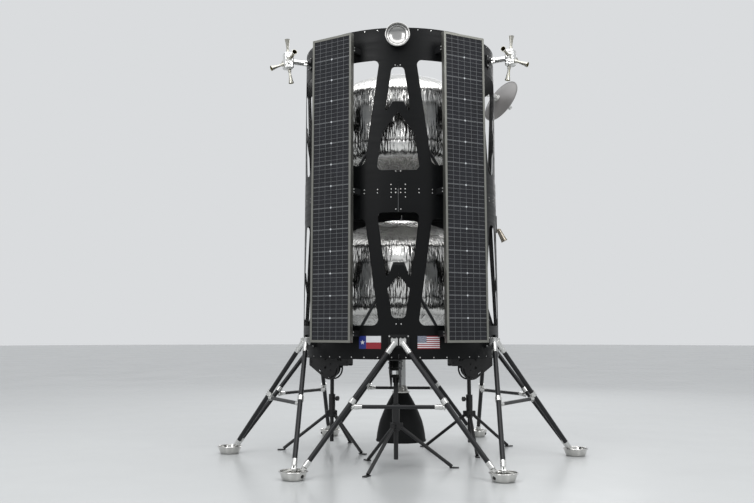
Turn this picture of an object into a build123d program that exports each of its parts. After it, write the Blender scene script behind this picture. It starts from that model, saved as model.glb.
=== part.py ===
from build123d import *
import os
from math import acos, asin, atan2, cos, degrees, hypot, radians, sin, tan

os.makedirs("parts", exist_ok=True)

# Full-size lunar lander display model, in millimetres
# The body axis is +Z through the origin, the floor is z = 0 and the front faces -Y
# Every angle is in degrees round the body, 0 at the front and positive towards +X

# Driving dimensions: the rolled shell
SHELL_RADIUS = 769.0
SHELL_THICKNESS = 4.0
SHELL_BOTTOM = 754.0
SHELL_TOP = 3180.0
MID_BAND_BOTTOM = 1800.0
MID_BAND_TOP = 2109.0
MID_BAND_MIDDLE = 1955.0
SEAM_GAP = 1.0
DOUBLER_THICKNESS = 5.0
DOUBLER_HEIGHT = 34.0
LATTICE_STEP = 45.0
QUARTERS = 4

# Driving dimensions: the tanks
TANK_RADIUS = 640.0
TANK_DOME = 245.0
TANK_KNUCKLE = 152.0
UPPER_TANK_SHOULDERS = (2366.0, 2763.0)
LOWER_TANK_SHOULDERS = (1205.0, 1578.0)

# Driving dimensions: the V struts round each tank
APEX_HEIGHTS = (2590.0, 1388.0)
APEX_THICKNESS = 18.0
APEX_SPREAD = 44.0
TANK_STRUT_RADIUS = 11.0
TANK_STRUT_DROP = 490.0
STRUT_FOOT_ANGLE = 25.0
STRUT_FOOT_SIZE = (50.0, 26.0, 40.0)

# Driving dimensions: the legs
SIDES = 6
FOOT_CIRCLE = 1350.0
MOUNT_RADIUS = 821.0
MOUNT_HEIGHT = 876.0
MOUNT_SPREAD = 23.0
FOOT_PIN_RADIUS = 1304.0
FOOT_PIN_HEIGHT = 55.0
FOOT_PIN_SPREAD = 34.5
STRUT_DIAMETER = 35.0
BRACE_DIAMETER = 27.0
BRACE_DROP = 35.0
TOP_SLEEVE_LENGTH = 100.0
TOP_SLEEVE_RADIUS = 20.0
SLEEVE_RING_WIDTH = 16.0
COLLAR_FRACTION = 0.48
COLLAR_DIAMETER = 46.0
COLLAR_LENGTH = 38.0
ROD_END_LENGTH = 66.0
ROD_END_BALL = 16.0

# Driving dimensions: the leg mounts on the lower band
PLATE_SIZE = (150.0, 24.0, 96.0)
PLATE_LIFT = 4.0
BLOCK_SIZE = (50.0, 54.0, 50.0)
BLOCK_SPREAD = 29.0
BLOCK_SPLIT = 2.0
CHEEK_SIZE = (4.0, 44.0, 76.0)

# Driving dimensions: the fork at the foot of each strut
FORK_START = 26.0
FORK_SLEEVE_LENGTH = 48.0
FORK_SLEEVE_RADIUS = 19.5
FORK_EAR = (6.0, 26.0, 30.0)
FORK_EAR_SPREAD = 8.5
FOOT_PIN_DIAMETER = 9.0
FOOT_PIN_LENGTH = 30.0

# Driving dimensions: the foot bowls
BOWL_RIM_RADIUS = 96.0
BOWL_BASE_RADIUS = 62.0
BOWL_CORNER = 14.0
BOWL_SIDE_ANGLE = 70.0
BOWL_HEIGHT = 58.0
BOWL_WALL = 2.0
BOWL_BEAD = 4.5
BASE_DISC_THICKNESS = 6.0
LUG_THICKNESS = 10.0
LUG_WIDTH = 24.0

# Driving dimensions: the solar panels
CELL_PITCH = 158.75
CELL_COLUMNS = 2
CELL_ROWS = 14
FRAME_LIP = 17.0
FRAME_DEPTH = 35.0
FRAME_WALL = 2.5
PANEL_BOTTOM = 872.0
PANEL_FACE = 899.0
PANEL_SHIFT = 47.0
PANEL_ANGLE = 30.0
LIP_THICKNESS = 2.5
LAMINATE_THICKNESS = 5.0
FLANGE_WIDTH = 26.0
FLANGE_THICKNESS = 2.5
BRACKET_SIZE = (34.0, 44.0)
BRACKET_WALL = 4.0

# Driving dimensions: the engine
BELL_EXIT_RADIUS = 193.0
BELL_EXIT_HEIGHT = 105.0
BELL_TOP_RADIUS = 60.0
BELL_TOP_HEIGHT = 475.0
BELL_WAIST_RADIUS = 165.0
BELL_WAIST_HEIGHT = 262.0
BELL_WALL = 4.0
BELL_LIP_HEIGHT = 7.0
COLLAR_CONE_TOP = 532.0
FEED_PIPE_RADIUS = 38.0
PIPE_FLANGE = (905.0, 925.0)

# Driving dimensions: the attitude thrusters
THRUSTER_ANGLES = (65.0, -65.0, 180.0)
THRUSTER_RADIUS = 958.0
THRUSTER_HEIGHT = 3055.0
ARM_DIAMETER = 42.0
ARM_PAD = (64.0, 24.0, 96.0)
TANG_SIZE = (34.0, 60.0, 14.0)
FORK_PRONG = (34.0, 46.0, 10.0)
ARM_PIN_RADIUS = 5.0
HOUSING_WIDTH = 76.0
HOUSING_HEIGHT = 132.0
HOUSING_EDGE = 14.0
NOZZLE_LENGTH = 112.0
NOZZLE_EXIT_RADIUS = 21.0
NOZZLE_THROAT_RADIUS = 7.0
NOZZLE_WALL = 2.0
VALVE_RADIUS = 13.0
VALVE_LENGTH = 22.0

# Driving dimensions: the dish antenna
DISH_RADIUS = 195.0
DISH_DEPTH = 44.0
DISH_WALL = 3.0
DISH_BALL = (816.0, 347.0, 2964.0)
DISH_HEADING = 32.3
DISH_DIP = 25.5
DISH_SWIVEL_OFFSET = 40.0
DISH_BALL_RADIUS = 20.0
DISH_VERTEX_OFFSET = 28.0
SWIVEL_RADIUS = 13.0
SWIVEL_HEIGHT = 26.0
SWIVEL_PIN_RADIUS = 5.0
TILT_PIN_RADIUS = 4.0
YOKE_PLATE = 5.0
YOKE_SPREAD = 22.8
FEED_FOCUS = 150.0
FEED_LEG_RADIUS = 3.5
FEED_LEG_CIRCLE = 118.0

# Driving dimensions: the round lamp and the side sensor
LAMP_RADIUS = 92.0
LAMP_HEIGHT = 3109.0
LAMP_DEPTH = 48.0
LAMP_STANDOFF = 12.0
LAMP_BEAD = 4.5
SENSOR_ANGLE = 88.0
SENSOR_RADIUS = 811.0
SENSOR_HEIGHT = 1712.0
SENSOR_LENGTH = 96.0
SENSOR_LEAN = 26.0

# Driving dimensions: the three display tripods
# Columns: angle, radius, turn of the first leg from the outward direction
TRIPOD_PLACES = ((-2.0, 672.0, -25.2), (-116.8, 641.0, 38.8), (116.1, 616.0, 8.2))
TRIPOD_REACH = 440.0
TRIPOD_LEG_RADIUS = 12.5
TRIPOD_FOOT = (64.0, 30.0, 8.0)
TRIPOD_HUB_RADIUS = 26.0
TRIPOD_HUB_BOTTOM = 255.0
TRIPOD_HUB_TOP = 335.0
MAST_DIAMETER = 32.0
MAST_BOTTOM = 60.0
MAST_TOP = 640.0
CLAMP_RADIUS = 27.0
CLAMP_TOP = 440.0
KNOB_HEIGHT = 406.0
HEAD_SPREAD = 32.5
HEAD_PLATE = 6.0
HEAD_ROUND_RADIUS = 92.0
HEAD_ROUND_CENTRE = (8.0, 650.0)
HEAD_REACH = 205.0
HEAD_SHOULDER = 672.0
HEAD_TAB_REACH = 178.0
HEAD_CAP = 4.0


def place(angle, radius, height, side=0.0):
    """Point at an angle round the body, moved sideways towards larger angles."""
    a = radians(angle)
    return Vector(radius * sin(a) + side * cos(a), side * sin(a) - radius * cos(a), height)


def turned(shape, angle):
    """Shape made at the front, turned round the body axis."""
    return Rot(0, 0, angle) * shape


def rod(start, end, radius):
    """Round bar between two points."""
    start, end = Vector(start), Vector(end)
    plane = Plane(origin=start, z_dir=end - start)
    return plane * Cylinder(radius, (end - start).length, align=(Align.CENTER, Align.CENTER, Align.MIN))


def taper(start, end, start_radius, end_radius):
    """Round bar between two points that narrows or widens on the way."""
    start, end = Vector(start), Vector(end)
    plane = Plane(origin=start, z_dir=end - start)
    length = (end - start).length
    return plane * Cone(start_radius, end_radius, length, align=(Align.CENTER, Align.CENTER, Align.MIN))


def ring(outer, inner, bottom, top):
    """Plain ring about the body axis."""
    height = top - bottom
    body = Cylinder(outer, height) - Cylinder(inner, height + 2)
    return Pos(0, 0, bottom + height / 2) * body


def disc(radius, bottom, top):
    """Plain disc about the body axis."""
    return Pos(0, 0, (bottom + top) / 2) * Cylinder(radius, top - bottom)


def wall_arc(outer, inner, bottom, top, start, end):
    """Piece of a cylindrical wall between two angles round the body."""
    profile = Plane.XZ * Pos((outer + inner) / 2, (bottom + top) / 2) * Rectangle(outer - inner, top - bottom)
    return turned(revolve(profile, Axis.Z, end - start), start - 90)


def outline(points, large, small, large_side):
    """Closed outline with round corners, the two at one end rounder than the rest."""
    face = make_face(Polyline(*points, close=True))
    groups = face.vertices().group_by(Axis.Z)
    ends = groups[large_side]
    rest = [vertex for vertex in face.vertices() if vertex not in ends]
    face = fillet(ends, large)
    if small:
        corners = [vertex for vertex in face.vertices()
                   if any((vertex.center() - old.center()).length < 0.01 for old in rest)]
        face = fillet(corners, small)
    return face


def mirrored(points):
    """Right half of an outline, from top to bottom, made whole by its mirror image."""
    left = [(-x, 0, z) for x, z in reversed(points) if x > 0]
    return [(x, 0, z) for x, z in points] + left


def cutter(face, angle):
    """Radial prism that cuts one opening through the wall."""
    return turned(extrude(face, amount=SHELL_RADIUS + 60, dir=(0, -1, 0)), angle)


def save(shape, node):
    """Write one sub-part."""
    solids = shape.solids()
    whole = solids[0] if len(solids) == 1 else Compound(children=list(solids))
    whole.label = node
    export_step(whole, f"parts/{node}.step")


# Lattice openings of the shell
# Half outlines as (half width, height), top to bottom

UPPER_PEAK = [(45, 2878), (100, 2503), (41, 2617)]
UPPER_FOOT = [(0, 2546), (118, 2383), (157, MID_BAND_TOP)]
UPPER_SIDE = [(164, 2935), (53, 2151)]
LOWER_PEAK = [(153, MID_BAND_BOTTOM), (88, 1322), (34, 1418)]
LOWER_FOOT = [(0, 1352), (79, 1252), (46, 1044)]
LOWER_SIDE = [(55, 1759), (160, 992)]

# Columns: half outline, radius of the rounder end, radius of the other corners, rounder end, on the half step
OPENINGS = [
    (UPPER_PEAK, 30, 10, -1, False),
    (UPPER_FOOT, 34, 14, 0, False),
    (UPPER_SIDE, 48, 38, 0, True),
    (LOWER_PEAK, 34, 10, -1, False),
    (LOWER_FOOT, 30, 14, 0, False),
    (LOWER_SIDE, 44, 44, -1, True),
]


def shell_quarter():
    """One quarter of the rolled shell from the front seam to the right, with its edge doublers."""
    seam = degrees(SEAM_GAP / SHELL_RADIUS) / 2
    arc = 360 / QUARTERS
    inner = SHELL_RADIUS - SHELL_THICKNESS
    wall = wall_arc(SHELL_RADIUS, inner, SHELL_BOTTOM, SHELL_TOP, seam, arc - seam)
    cuts = []
    for points, large, small, side, half_step in OPENINGS:
        face = outline(mirrored(points), large, small, side)
        steps = range(2) if half_step else range(3)
        for step in steps:
            angle = (step + 0.5) * LATTICE_STEP if half_step else step * LATTICE_STEP
            cuts.append(cutter(face, angle))
    wall = wall - cuts
    doublers = [
        (SHELL_BOTTOM, SHELL_BOTTOM + DOUBLER_HEIGHT),
        (MID_BAND_MIDDLE - DOUBLER_HEIGHT, MID_BAND_MIDDLE + DOUBLER_HEIGHT),
        (SHELL_TOP - DOUBLER_HEIGHT, SHELL_TOP),
    ]
    for bottom, top in doublers:
        wall = wall + wall_arc(inner, inner - DOUBLER_THICKNESS, bottom, top, seam, arc - seam)
    return wall


QUARTER_NAMES = ("shell_front_right", "shell_rear_right", "shell_rear_left", "shell_front_left")
quarter = shell_quarter()
for number, name in enumerate(QUARTER_NAMES):
    save(turned(quarter, number * 360 / QUARTERS), name)

# Splice plates behind the four vertical seams
# Columns: bottom, top, half width

SPLICES = [
    (SHELL_BOTTOM + DOUBLER_HEIGHT + 4, 1030, 36),
    (1366, 1405, 30),
    (MID_BAND_BOTTOM + 12, MID_BAND_MIDDLE - DOUBLER_HEIGHT - 4, 40),
    (MID_BAND_MIDDLE + DOUBLER_HEIGHT + 4, MID_BAND_TOP - 12, 40),
    (2562, 2604, 30),
    (2895, SHELL_TOP - DOUBLER_HEIGHT - 4, 36),
]
splice_outer = SHELL_RADIUS - SHELL_THICKNESS
splices = []
for number in range(QUARTERS):
    for bottom, top, half_width in SPLICES:
        half_angle = degrees(half_width / SHELL_RADIUS)
        plate = wall_arc(splice_outer, splice_outer - 3, bottom, top, -half_angle, half_angle)
        splices.append(turned(plate, number * 360 / QUARTERS))
save(Compound(children=splices), "seam_splices")


# Tanks

def tank(shoulders):
    """Closed tank with a short barrel and domes of a knuckle and a wide crown."""
    low, high = shoulders
    knuckle_centre = TANK_RADIUS - TANK_KNUCKLE
    crown = (knuckle_centre ** 2 + TANK_DOME ** 2 - TANK_KNUCKLE ** 2) / (2 * (TANK_DOME - TANK_KNUCKLE))
    join = degrees(asin(knuckle_centre / (crown - TANK_KNUCKLE)))
    edges = [
        CenterArc((0, low - TANK_DOME + crown), crown, -90, join),
        CenterArc((knuckle_centre, low), TANK_KNUCKLE, join - 90, 90 - join),
        Line((TANK_RADIUS, low), (TANK_RADIUS, high)),
        CenterArc((knuckle_centre, high), TANK_KNUCKLE, 0, 90 - join),
        CenterArc((0, high + TANK_DOME - crown), crown, 90 - join, join),
        Line((0, high + TANK_DOME), (0, low - TANK_DOME)),
    ]
    return revolve(Plane.XZ * make_face(edges), Axis.Z)


upper_tank = tank(UPPER_TANK_SHOULDERS)
lower_tank = tank(LOWER_TANK_SHOULDERS)
save(upper_tank, "upper_tank")
save(lower_tank, "lower_tank")

# V struts that hold each tank: a chevron plate on its barrel and two bars down to pads on the shell
# Right half of the chevron's outline as (half width, height above the apex height), top to bottom

CHEVRON = [(40, 62), (56, 21), (67, -19), (62, -34), (24, -34), (12, -14)]


def tank_hanger(height, tank_body):
    """The V struts at the front of one tank, seated on its barrel and inside the shell."""
    shell_inner = SHELL_RADIUS - SHELL_THICKNESS
    pad_width, pad_depth, pad_height = STRUT_FOOT_SIZE
    low = height - TANK_STRUT_DROP
    face = make_face(Polyline(*mirrored(CHEVRON), close=True))
    back = TANK_RADIUS - APEX_THICKNESS / 4
    whole = Pos(0, -back, height) * extrude(face, amount=APEX_THICKNESS, dir=(0, -1, 0))
    for side in (-1, 1):
        top = place(0, TANK_RADIUS + TANK_STRUT_RADIUS, height, side * APEX_SPREAD)
        foot = place(side * STRUT_FOOT_ANGLE, shell_inner - pad_depth / 2, low)
        pad = Pos(0, -shell_inner + pad_depth / 4, low) * Box(pad_width, pad_depth, pad_height)
        whole = whole + rod(top, foot, TANK_STRUT_RADIUS) + turned(pad, side * STRUT_FOOT_ANGLE)
    whole = whole & disc(shell_inner, low - pad_height, height + TANK_STRUT_DROP)
    return (whole - tank_body).solids().sort_by(SortBy.VOLUME)[-1]


hangers = []
for height, body in zip(APEX_HEIGHTS, (upper_tank, lower_tank)):
    hanger = tank_hanger(height, body)
    hangers += [turned(hanger, number * 360 / SIDES) for number in range(SIDES)]
save(Compound(children=[piece.solids()[0] for piece in hangers]), "tank_struts")

# Solar panels
PANEL_WIDTH = CELL_COLUMNS * CELL_PITCH + 2 * (FRAME_LIP - 1)
PANEL_HEIGHT = CELL_ROWS * CELL_PITCH + 2 * (FRAME_LIP - 4)
PANEL_MIDDLE = PANEL_BOTTOM + PANEL_HEIGHT / 2


def panel_slab(inset, front, back):
    """Upright slab in the panel's outline, drawn in by an inset, between two depths behind the face."""
    slab = Box(PANEL_WIDTH - 2 * inset, back - front, PANEL_HEIGHT - 2 * inset)
    return Pos(PANEL_SHIFT, -PANEL_FACE + (front + back) / 2, PANEL_MIDDLE) * slab


laminate_front = LIP_THICKNESS
laminate_back = LIP_THICKNESS + LAMINATE_THICKNESS
panel_frame = panel_slab(0, 0, FRAME_DEPTH)
panel_frame = panel_frame - panel_slab(FRAME_LIP, -1, laminate_back + 1)
panel_frame = panel_frame - panel_slab(FRAME_WALL, laminate_front, laminate_back)
panel_frame = panel_frame - panel_slab(FRAME_WALL, laminate_back + 3, FRAME_DEPTH - FLANGE_THICKNESS)
panel_frame = panel_frame - panel_slab(FLANGE_WIDTH, laminate_back, FRAME_DEPTH + 1)
laminate = panel_slab(FRAME_WALL, laminate_front, laminate_back)

# Brackets from the shell's bands to the back flanges of a panel
# Columns: height, sideways place on the panel
BRACKET_HEIGHTS = (935.0, MID_BAND_MIDDLE, 3010.0)
BRACKET_SIDES = (-PANEL_WIDTH / 2 + 24, PANEL_WIDTH / 2 - 24)


def panel_brackets():
    """Six channel brackets of one panel, each ending on the round wall."""
    width, tall = BRACKET_SIZE
    back = PANEL_FACE - FRAME_DEPTH
    depth = back - SHELL_RADIUS * 0.9
    whole = []
    for height in BRACKET_HEIGHTS:
        for side in BRACKET_SIDES:
            middle = Pos(PANEL_SHIFT + side, -back + depth / 2, height)
            hollow = Pos(0, 0, BRACKET_WALL + 1) * Box(width - 2 * BRACKET_WALL, depth + 2, tall)
            channel = middle * (Box(width, depth, tall) - hollow)
            cut = channel - disc(SHELL_RADIUS, height - tall, height + tall)
            whole.append(cut.solids().sort_by(Axis.Y)[0])
    return whole


# Columns: node ending, angle, mirrored left to right
PANEL_PLACES = [
    ("front_right", 0.0, False),
    ("rear_right", 0.0, True),
    ("rear_left", 180.0, False),
    ("front_left", 180.0, True),
]


def panel_at(shape, turn, mirror_front_to_back):
    """Panel piece turned from the front to its own place."""
    shape = turned(shape, PANEL_ANGLE)
    if mirror_front_to_back:
        shape = mirror(shape, Plane.XZ)
    return turned(shape, turn)


brackets = []
for ending, turn, flipped in PANEL_PLACES:
    save(panel_at(panel_frame, turn, flipped), f"panel_frame_{ending}")
    save(panel_at(laminate, turn, flipped), f"panel_cells_{ending}")
    for bracket in panel_brackets():
        brackets.append(panel_at(bracket, turn, flipped))
save(Compound(children=[piece.solids()[0] for piece in brackets]), "panel_brackets")


# Leg mounts on the lower band

def mount_plate():
    """Backing plate on the shell behind one pair of mount blocks, with an upright cheek on each side."""
    width, depth, tall = PLATE_SIZE
    plate = Pos(0, -SHELL_RADIUS, MOUNT_HEIGHT + PLATE_LIFT) * Box(width, depth, tall)
    plate = fillet(plate.edges().filter_by(Axis.Y), 12)
    cheek_x = BLOCK_SPREAD + BLOCK_SIZE[0] / 2 + CHEEK_SIZE[0] / 2
    for side in (-1, 1):
        cheek = Pos(side * cheek_x, -SHELL_RADIUS - depth / 4, MOUNT_HEIGHT + 3 * PLATE_LIFT) * Box(*CHEEK_SIZE)
        plate = plate + cheek
    return plate - disc(SHELL_RADIUS, SHELL_BOTTOM, MOUNT_HEIGHT + tall)


def mount_block(side):
    """Two-part clamp block that holds the top of one strut, with the split line round its middle."""
    width, depth, tall = BLOCK_SIZE
    block = Box(width, depth, tall)
    block = fillet(block.edges().filter_by(Axis.Z), 6)
    block = chamfer(block.edges().group_by(Axis.Z)[0], 3)
    split = Box(width + 2, depth + 2, BLOCK_SPLIT) - Box(width - 6, depth - 6, BLOCK_SPLIT)
    back = SHELL_RADIUS + PLATE_SIZE[1] / 2
    return Pos(side * BLOCK_SPREAD, -back - depth / 2, MOUNT_HEIGHT) * (block - split)


mount_plates = []
mount_blocks = []
for number in range(SIDES):
    angle = number * 360 / SIDES
    mount_plates.append(turned(mount_plate(), angle))
    for side in (-1, 1):
        mount_blocks.append(turned(mount_block(side), angle))
save(Compound(children=[piece.solids()[0] for piece in mount_plates]), "mount_plates")
save(Compound(children=[piece.solids()[0] for piece in mount_blocks]), "mount_blocks")


# One leg frame: two struts with a brace between their collars

def strut_line(side):
    """Top and foot points of the strut on one side of the front mount."""
    top = place(0, MOUNT_RADIUS, MOUNT_HEIGHT, side * MOUNT_SPREAD)
    foot = place(side * 180 / SIDES, FOOT_PIN_RADIUS, FOOT_PIN_HEIGHT, -side * FOOT_PIN_SPREAD)
    return top, foot


def along(start, end, distance):
    """Point at a distance from the start on the way to the end."""
    return start + (end - start).normalized() * distance


def fork(foot, top):
    """Sleeve and two ears round the foot pin, on the line of the strut."""
    frame = Plane(origin=foot, z_dir=top - foot, x_dir=Vector(top.Y - foot.Y, foot.X - top.X, 0))
    thickness, width, reach = FORK_EAR
    neck = FORK_START - width / 2
    whole = Pos(0, 0, FORK_START + FORK_SLEEVE_LENGTH / 2) * Cylinder(FORK_SLEEVE_RADIUS, FORK_SLEEVE_LENGTH)
    whole = whole + Pos(0, 0, FORK_START - neck / 4) * Cone(width / 2 + 2, FORK_SLEEVE_RADIUS, neck / 2 + 2)
    whole = whole + Rot(0, 90, 0) * Cylinder(FOOT_PIN_DIAMETER / 2, FOOT_PIN_LENGTH)
    for side in (-1, 1):
        ear = Pos(side * FORK_EAR_SPREAD, 0, reach / 2 - 4) * Box(thickness, width, reach)
        eye = Pos(side * FORK_EAR_SPREAD, 0, 0) * Rot(0, 90, 0) * Cylinder(width / 2, thickness)
        whole = whole + ear + eye
    return frame * whole


blocks_front = mount_block(-1) + mount_block(1)
leg_tubes = []
leg_fittings = []
collar_points = {}
for side in (-1, 1):
    top, foot = strut_line(side)
    length = (foot - top).length
    collar_points[side] = along(top, foot, COLLAR_FRACTION * length)
    tube_start = along(top, foot, TOP_SLEEVE_LENGTH)
    tube_end = along(foot, top, FORK_START + FORK_SLEEVE_LENGTH)
    leg_tubes.append(rod(tube_start, tube_end, STRUT_DIAMETER / 2))
    ring_start = along(tube_start, top, SLEEVE_RING_WIDTH + 12)
    sleeve = taper(along(top, foot, 6), tube_start, TOP_SLEEVE_RADIUS + 2, TOP_SLEEVE_RADIUS - 1)
    sleeve = sleeve + rod(ring_start, along(ring_start, foot, SLEEVE_RING_WIDTH), TOP_SLEEVE_RADIUS + 2)
    leg_fittings.append((sleeve - blocks_front).solids().sort_by(SortBy.VOLUME)[-1])
    leg_fittings.append(fork(foot, top))

brace_left = collar_points[-1] - Vector(0, 0, BRACE_DROP)
brace_right = collar_points[1] - Vector(0, 0, BRACE_DROP)
leg_tubes.append(rod(along(brace_left, brace_right, ROD_END_LENGTH),
                     along(brace_right, brace_left, ROD_END_LENGTH), BRACE_DIAMETER / 2))


def brace_collar(side):
    """Clamp ring round a strut with its lug, and the ball and tapered rod end of the brace."""
    top, foot = strut_line(side)
    middle = collar_points[side]
    own = brace_right if side > 0 else brace_left
    other = brace_left if side > 0 else brace_right
    start = along(middle, top, COLLAR_LENGTH / 2)
    end = along(middle, foot, COLLAR_LENGTH / 2)
    lug = rod(middle, own - Vector(0, 0, ROD_END_BALL * 0.7), COLLAR_LENGTH / 4)
    ball = Pos(*along(own, other, 4)) * Sphere(ROD_END_BALL)
    rod_start = along(own, other, ROD_END_BALL - 2)
    rod_stop = along(own, other, ROD_END_LENGTH)
    rod_end = taper(rod_start, rod_stop, BRACE_DIAMETER * 0.7, BRACE_DIAMETER * 0.58)
    whole = rod(start, end, COLLAR_DIAMETER / 2) + lug + ball + rod_end
    return whole - rod(top, foot, STRUT_DIAMETER / 2)


for side in (-1, 1):
    leg_fittings.append(brace_collar(side).solids().sort_by(SortBy.VOLUME)[-1])

for number in range(SIDES):
    angle = number * 360 / SIDES
    tubes = [turned(piece, angle).solids()[0] for piece in leg_tubes]
    fittings = [turned(piece, angle).solids()[0] for piece in leg_fittings]
    save(Compound(children=tubes), f"leg_tubes_{number + 1}")
    save(Compound(children=fittings), f"leg_fittings_{number + 1}")


# Foot bowls with a flat base, a round corner, a flared side and a rolled rim

def bowl_skin(inset):
    """One side of the bowl's sheet, from the axis up to the bead, and the point where it ends."""
    corner = CenterArc((BOWL_BASE_RADIUS, BOWL_CORNER), BOWL_CORNER - inset, -90, BOWL_SIDE_ANGLE)
    start = corner @ 1
    rise = BOWL_HEIGHT - BOWL_BEAD - start.Y
    end = (start.X + rise / tan(radians(BOWL_SIDE_ANGLE)), start.Y + rise)
    return [Line((0, inset), (BOWL_BASE_RADIUS, inset)), corner, Line(start, end)], end


def foot_bowl():
    """Open bowl that stands on the floor at the origin."""
    outer, outer_end = bowl_skin(0)
    inner, inner_end = bowl_skin(BOWL_WALL)
    sheet = make_face(outer + inner + [Line((0, 0), (0, BOWL_WALL)), Line(outer_end, inner_end)])
    bead = Pos(BOWL_RIM_RADIUS - BOWL_BEAD, BOWL_HEIGHT - BOWL_BEAD) * Circle(BOWL_BEAD)
    return revolve(Plane.XZ * (sheet + bead), Axis.Z)


bowl = foot_bowl()
for number in range(SIDES):
    centre = place((number + 0.5) * 360 / SIDES, FOOT_CIRCLE, 0)
    save(Pos(*centre) * bowl, f"foot_bowl_{number + 1}")

# Base disc and the two pin lugs in each bowl
disc_middle = BOWL_WALL + BASE_DISC_THICKNESS / 2
base_disc = Cylinder(BOWL_BASE_RADIUS - 4, BASE_DISC_THICKNESS)
lug_pair = Pos(*place(180 / SIDES, FOOT_CIRCLE, disc_middle)) * base_disc
for number, side in ((0, 1), (1, -1)):
    top, foot = strut_line(side)
    heading = degrees(atan2(top.Y - foot.Y, top.X - foot.X)) + number * 360 / SIDES
    spot = turned(Pos(*foot), number * 360 / SIDES).position
    lug_height = foot.Z - disc_middle
    plate = Pos(0, 0, -lug_height / 2) * Box(LUG_WIDTH, LUG_THICKNESS, lug_height)
    eye = Rot(90, 0, 0) * Cylinder(LUG_WIDTH / 2, LUG_THICKNESS)
    hole = Rot(90, 0, 0) * Cylinder(FOOT_PIN_DIAMETER / 2, 2 * FOOT_PIN_LENGTH)
    lug_pair = lug_pair + Pos(*spot) * Rot(0, 0, heading) * (plate + eye - hole)
foot_lugs = [turned(lug_pair, number * 360 / SIDES).solids()[0] for number in range(SIDES)]
save(Compound(children=foot_lugs), "foot_lugs")

# Engine bell, its collar and the feed pipe from the lower tank


def bell_profile(inset):
    """Half outline of the bell from its top to its exit, drawn in by the wall."""
    waist = (BELL_WAIST_RADIUS - inset, BELL_WAIST_HEIGHT)
    upper = ThreePointArc((BELL_TOP_RADIUS - inset, BELL_TOP_HEIGHT), (121 - inset, 365), waist)
    lower = ThreePointArc(waist, (184 - inset, 180), (BELL_EXIT_RADIUS - inset, BELL_EXIT_HEIGHT))
    return upper, lower


outer_upper, outer_lower = bell_profile(0)
inner_upper, inner_lower = bell_profile(BELL_WALL)
bell_face = make_face([
    outer_upper, outer_lower, inner_upper, inner_lower,
    Line(outer_upper @ 0, inner_upper @ 0), Line(outer_lower @ 1, inner_lower @ 1)])
bell = revolve(Plane.XZ * bell_face, Axis.Z)
lip_inner = BELL_EXIT_RADIUS - BELL_WALL - 0.5
bell_lip = ring(BELL_EXIT_RADIUS + 2, lip_inner, BELL_EXIT_HEIGHT, BELL_EXIT_HEIGHT + BELL_LIP_HEIGHT)
save(bell + bell_lip, "engine_bell")

cone = Pos(0, 0, (BELL_TOP_HEIGHT + COLLAR_CONE_TOP) / 2) * Cone(
    BELL_TOP_RADIUS + 3, FEED_PIPE_RADIUS + 4, COLLAR_CONE_TOP - BELL_TOP_HEIGHT)
cone = cone + disc(BELL_TOP_RADIUS + 8, BELL_TOP_HEIGHT, BELL_TOP_HEIGHT + 8)
save(cone, "engine_collar")

pipe = disc(FEED_PIPE_RADIUS, COLLAR_CONE_TOP, LOWER_TANK_SHOULDERS[0] - TANK_DOME + 12) - lower_tank
flange_low, flange_high = PIPE_FLANGE
pipe = pipe + ring(FEED_PIPE_RADIUS + 14, FEED_PIPE_RADIUS - 1, flange_low, flange_high)
save(pipe, "feed_pipe")


# Attitude thrusters: bracket, arm, housing and five nozzles in each group

def thruster_bracket():
    """Pad on the shell with a tang for the arm's fork and a gusset under the tang."""
    pad = Pos(0, -SHELL_RADIUS + 2, THRUSTER_HEIGHT) * Box(*ARM_PAD)
    pad = fillet(pad.edges().filter_by(Axis.Y), 10)
    width, reach, thickness = TANG_SIZE
    tip = SHELL_RADIUS + reach - 6
    tang = Pos(0, -tip + reach / 2, THRUSTER_HEIGHT) * Box(*TANG_SIZE)
    low = THRUSTER_HEIGHT - thickness / 2
    gusset_tip = tip - width - 3
    corners = ((-SHELL_RADIUS, low), (-gusset_tip, low), (-SHELL_RADIUS, low - 66))
    gusset = make_face(Polyline(*corners, close=True))
    gusset = Pos(-5, 0, 0) * extrude(Plane.YZ * gusset, amount=10)
    pin_hole = Pos(0, -tip + width / 2, THRUSTER_HEIGHT) * Cylinder(ARM_PIN_RADIUS, 2 * thickness)
    whole = pad + tang + gusset - pin_hole
    return whole - disc(SHELL_RADIUS, THRUSTER_HEIGHT - ARM_PAD[2], THRUSTER_HEIGHT + ARM_PAD[2])


def thruster_arm():
    """Tube to the housing, with a pinned fork round the bracket's tang."""
    width, reach, thickness = FORK_PRONG
    tip = SHELL_RADIUS + TANG_SIZE[1] - 6
    pin_radius = tip - width / 2
    root = pin_radius - width / 2 + reach
    half_gap = TANG_SIZE[2] / 2
    end = THRUSTER_RADIUS - HOUSING_WIDTH / 2 + 2
    whole = rod((0, -root, THRUSTER_HEIGHT), (0, -end, THRUSTER_HEIGHT), ARM_DIAMETER / 2)
    whole = whole + rod((0, -tip - 1, THRUSTER_HEIGHT), (0, -root, THRUSTER_HEIGHT), ARM_DIAMETER / 2 - 3)
    for side in (-1, 1):
        middle = THRUSTER_HEIGHT + side * (half_gap + thickness / 2)
        prong = Pos(0, -root + (root - pin_radius) / 2, middle) * Box(width, root - pin_radius, thickness)
        eye = Pos(0, -pin_radius, middle) * Cylinder(width / 2, thickness)
        whole = whole + prong + eye
    pin = Pos(0, -pin_radius, THRUSTER_HEIGHT) * Cylinder(ARM_PIN_RADIUS, 2 * (half_gap + thickness) + 8)
    return whole + pin


def thruster_housing():
    """Upright box with round edges that holds the valves."""
    box = Box(HOUSING_WIDTH, HOUSING_WIDTH - 4, HOUSING_HEIGHT)
    return Pos(0, -THRUSTER_RADIUS, THRUSTER_HEIGHT) * fillet(box.edges(), HOUSING_EDGE)


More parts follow.
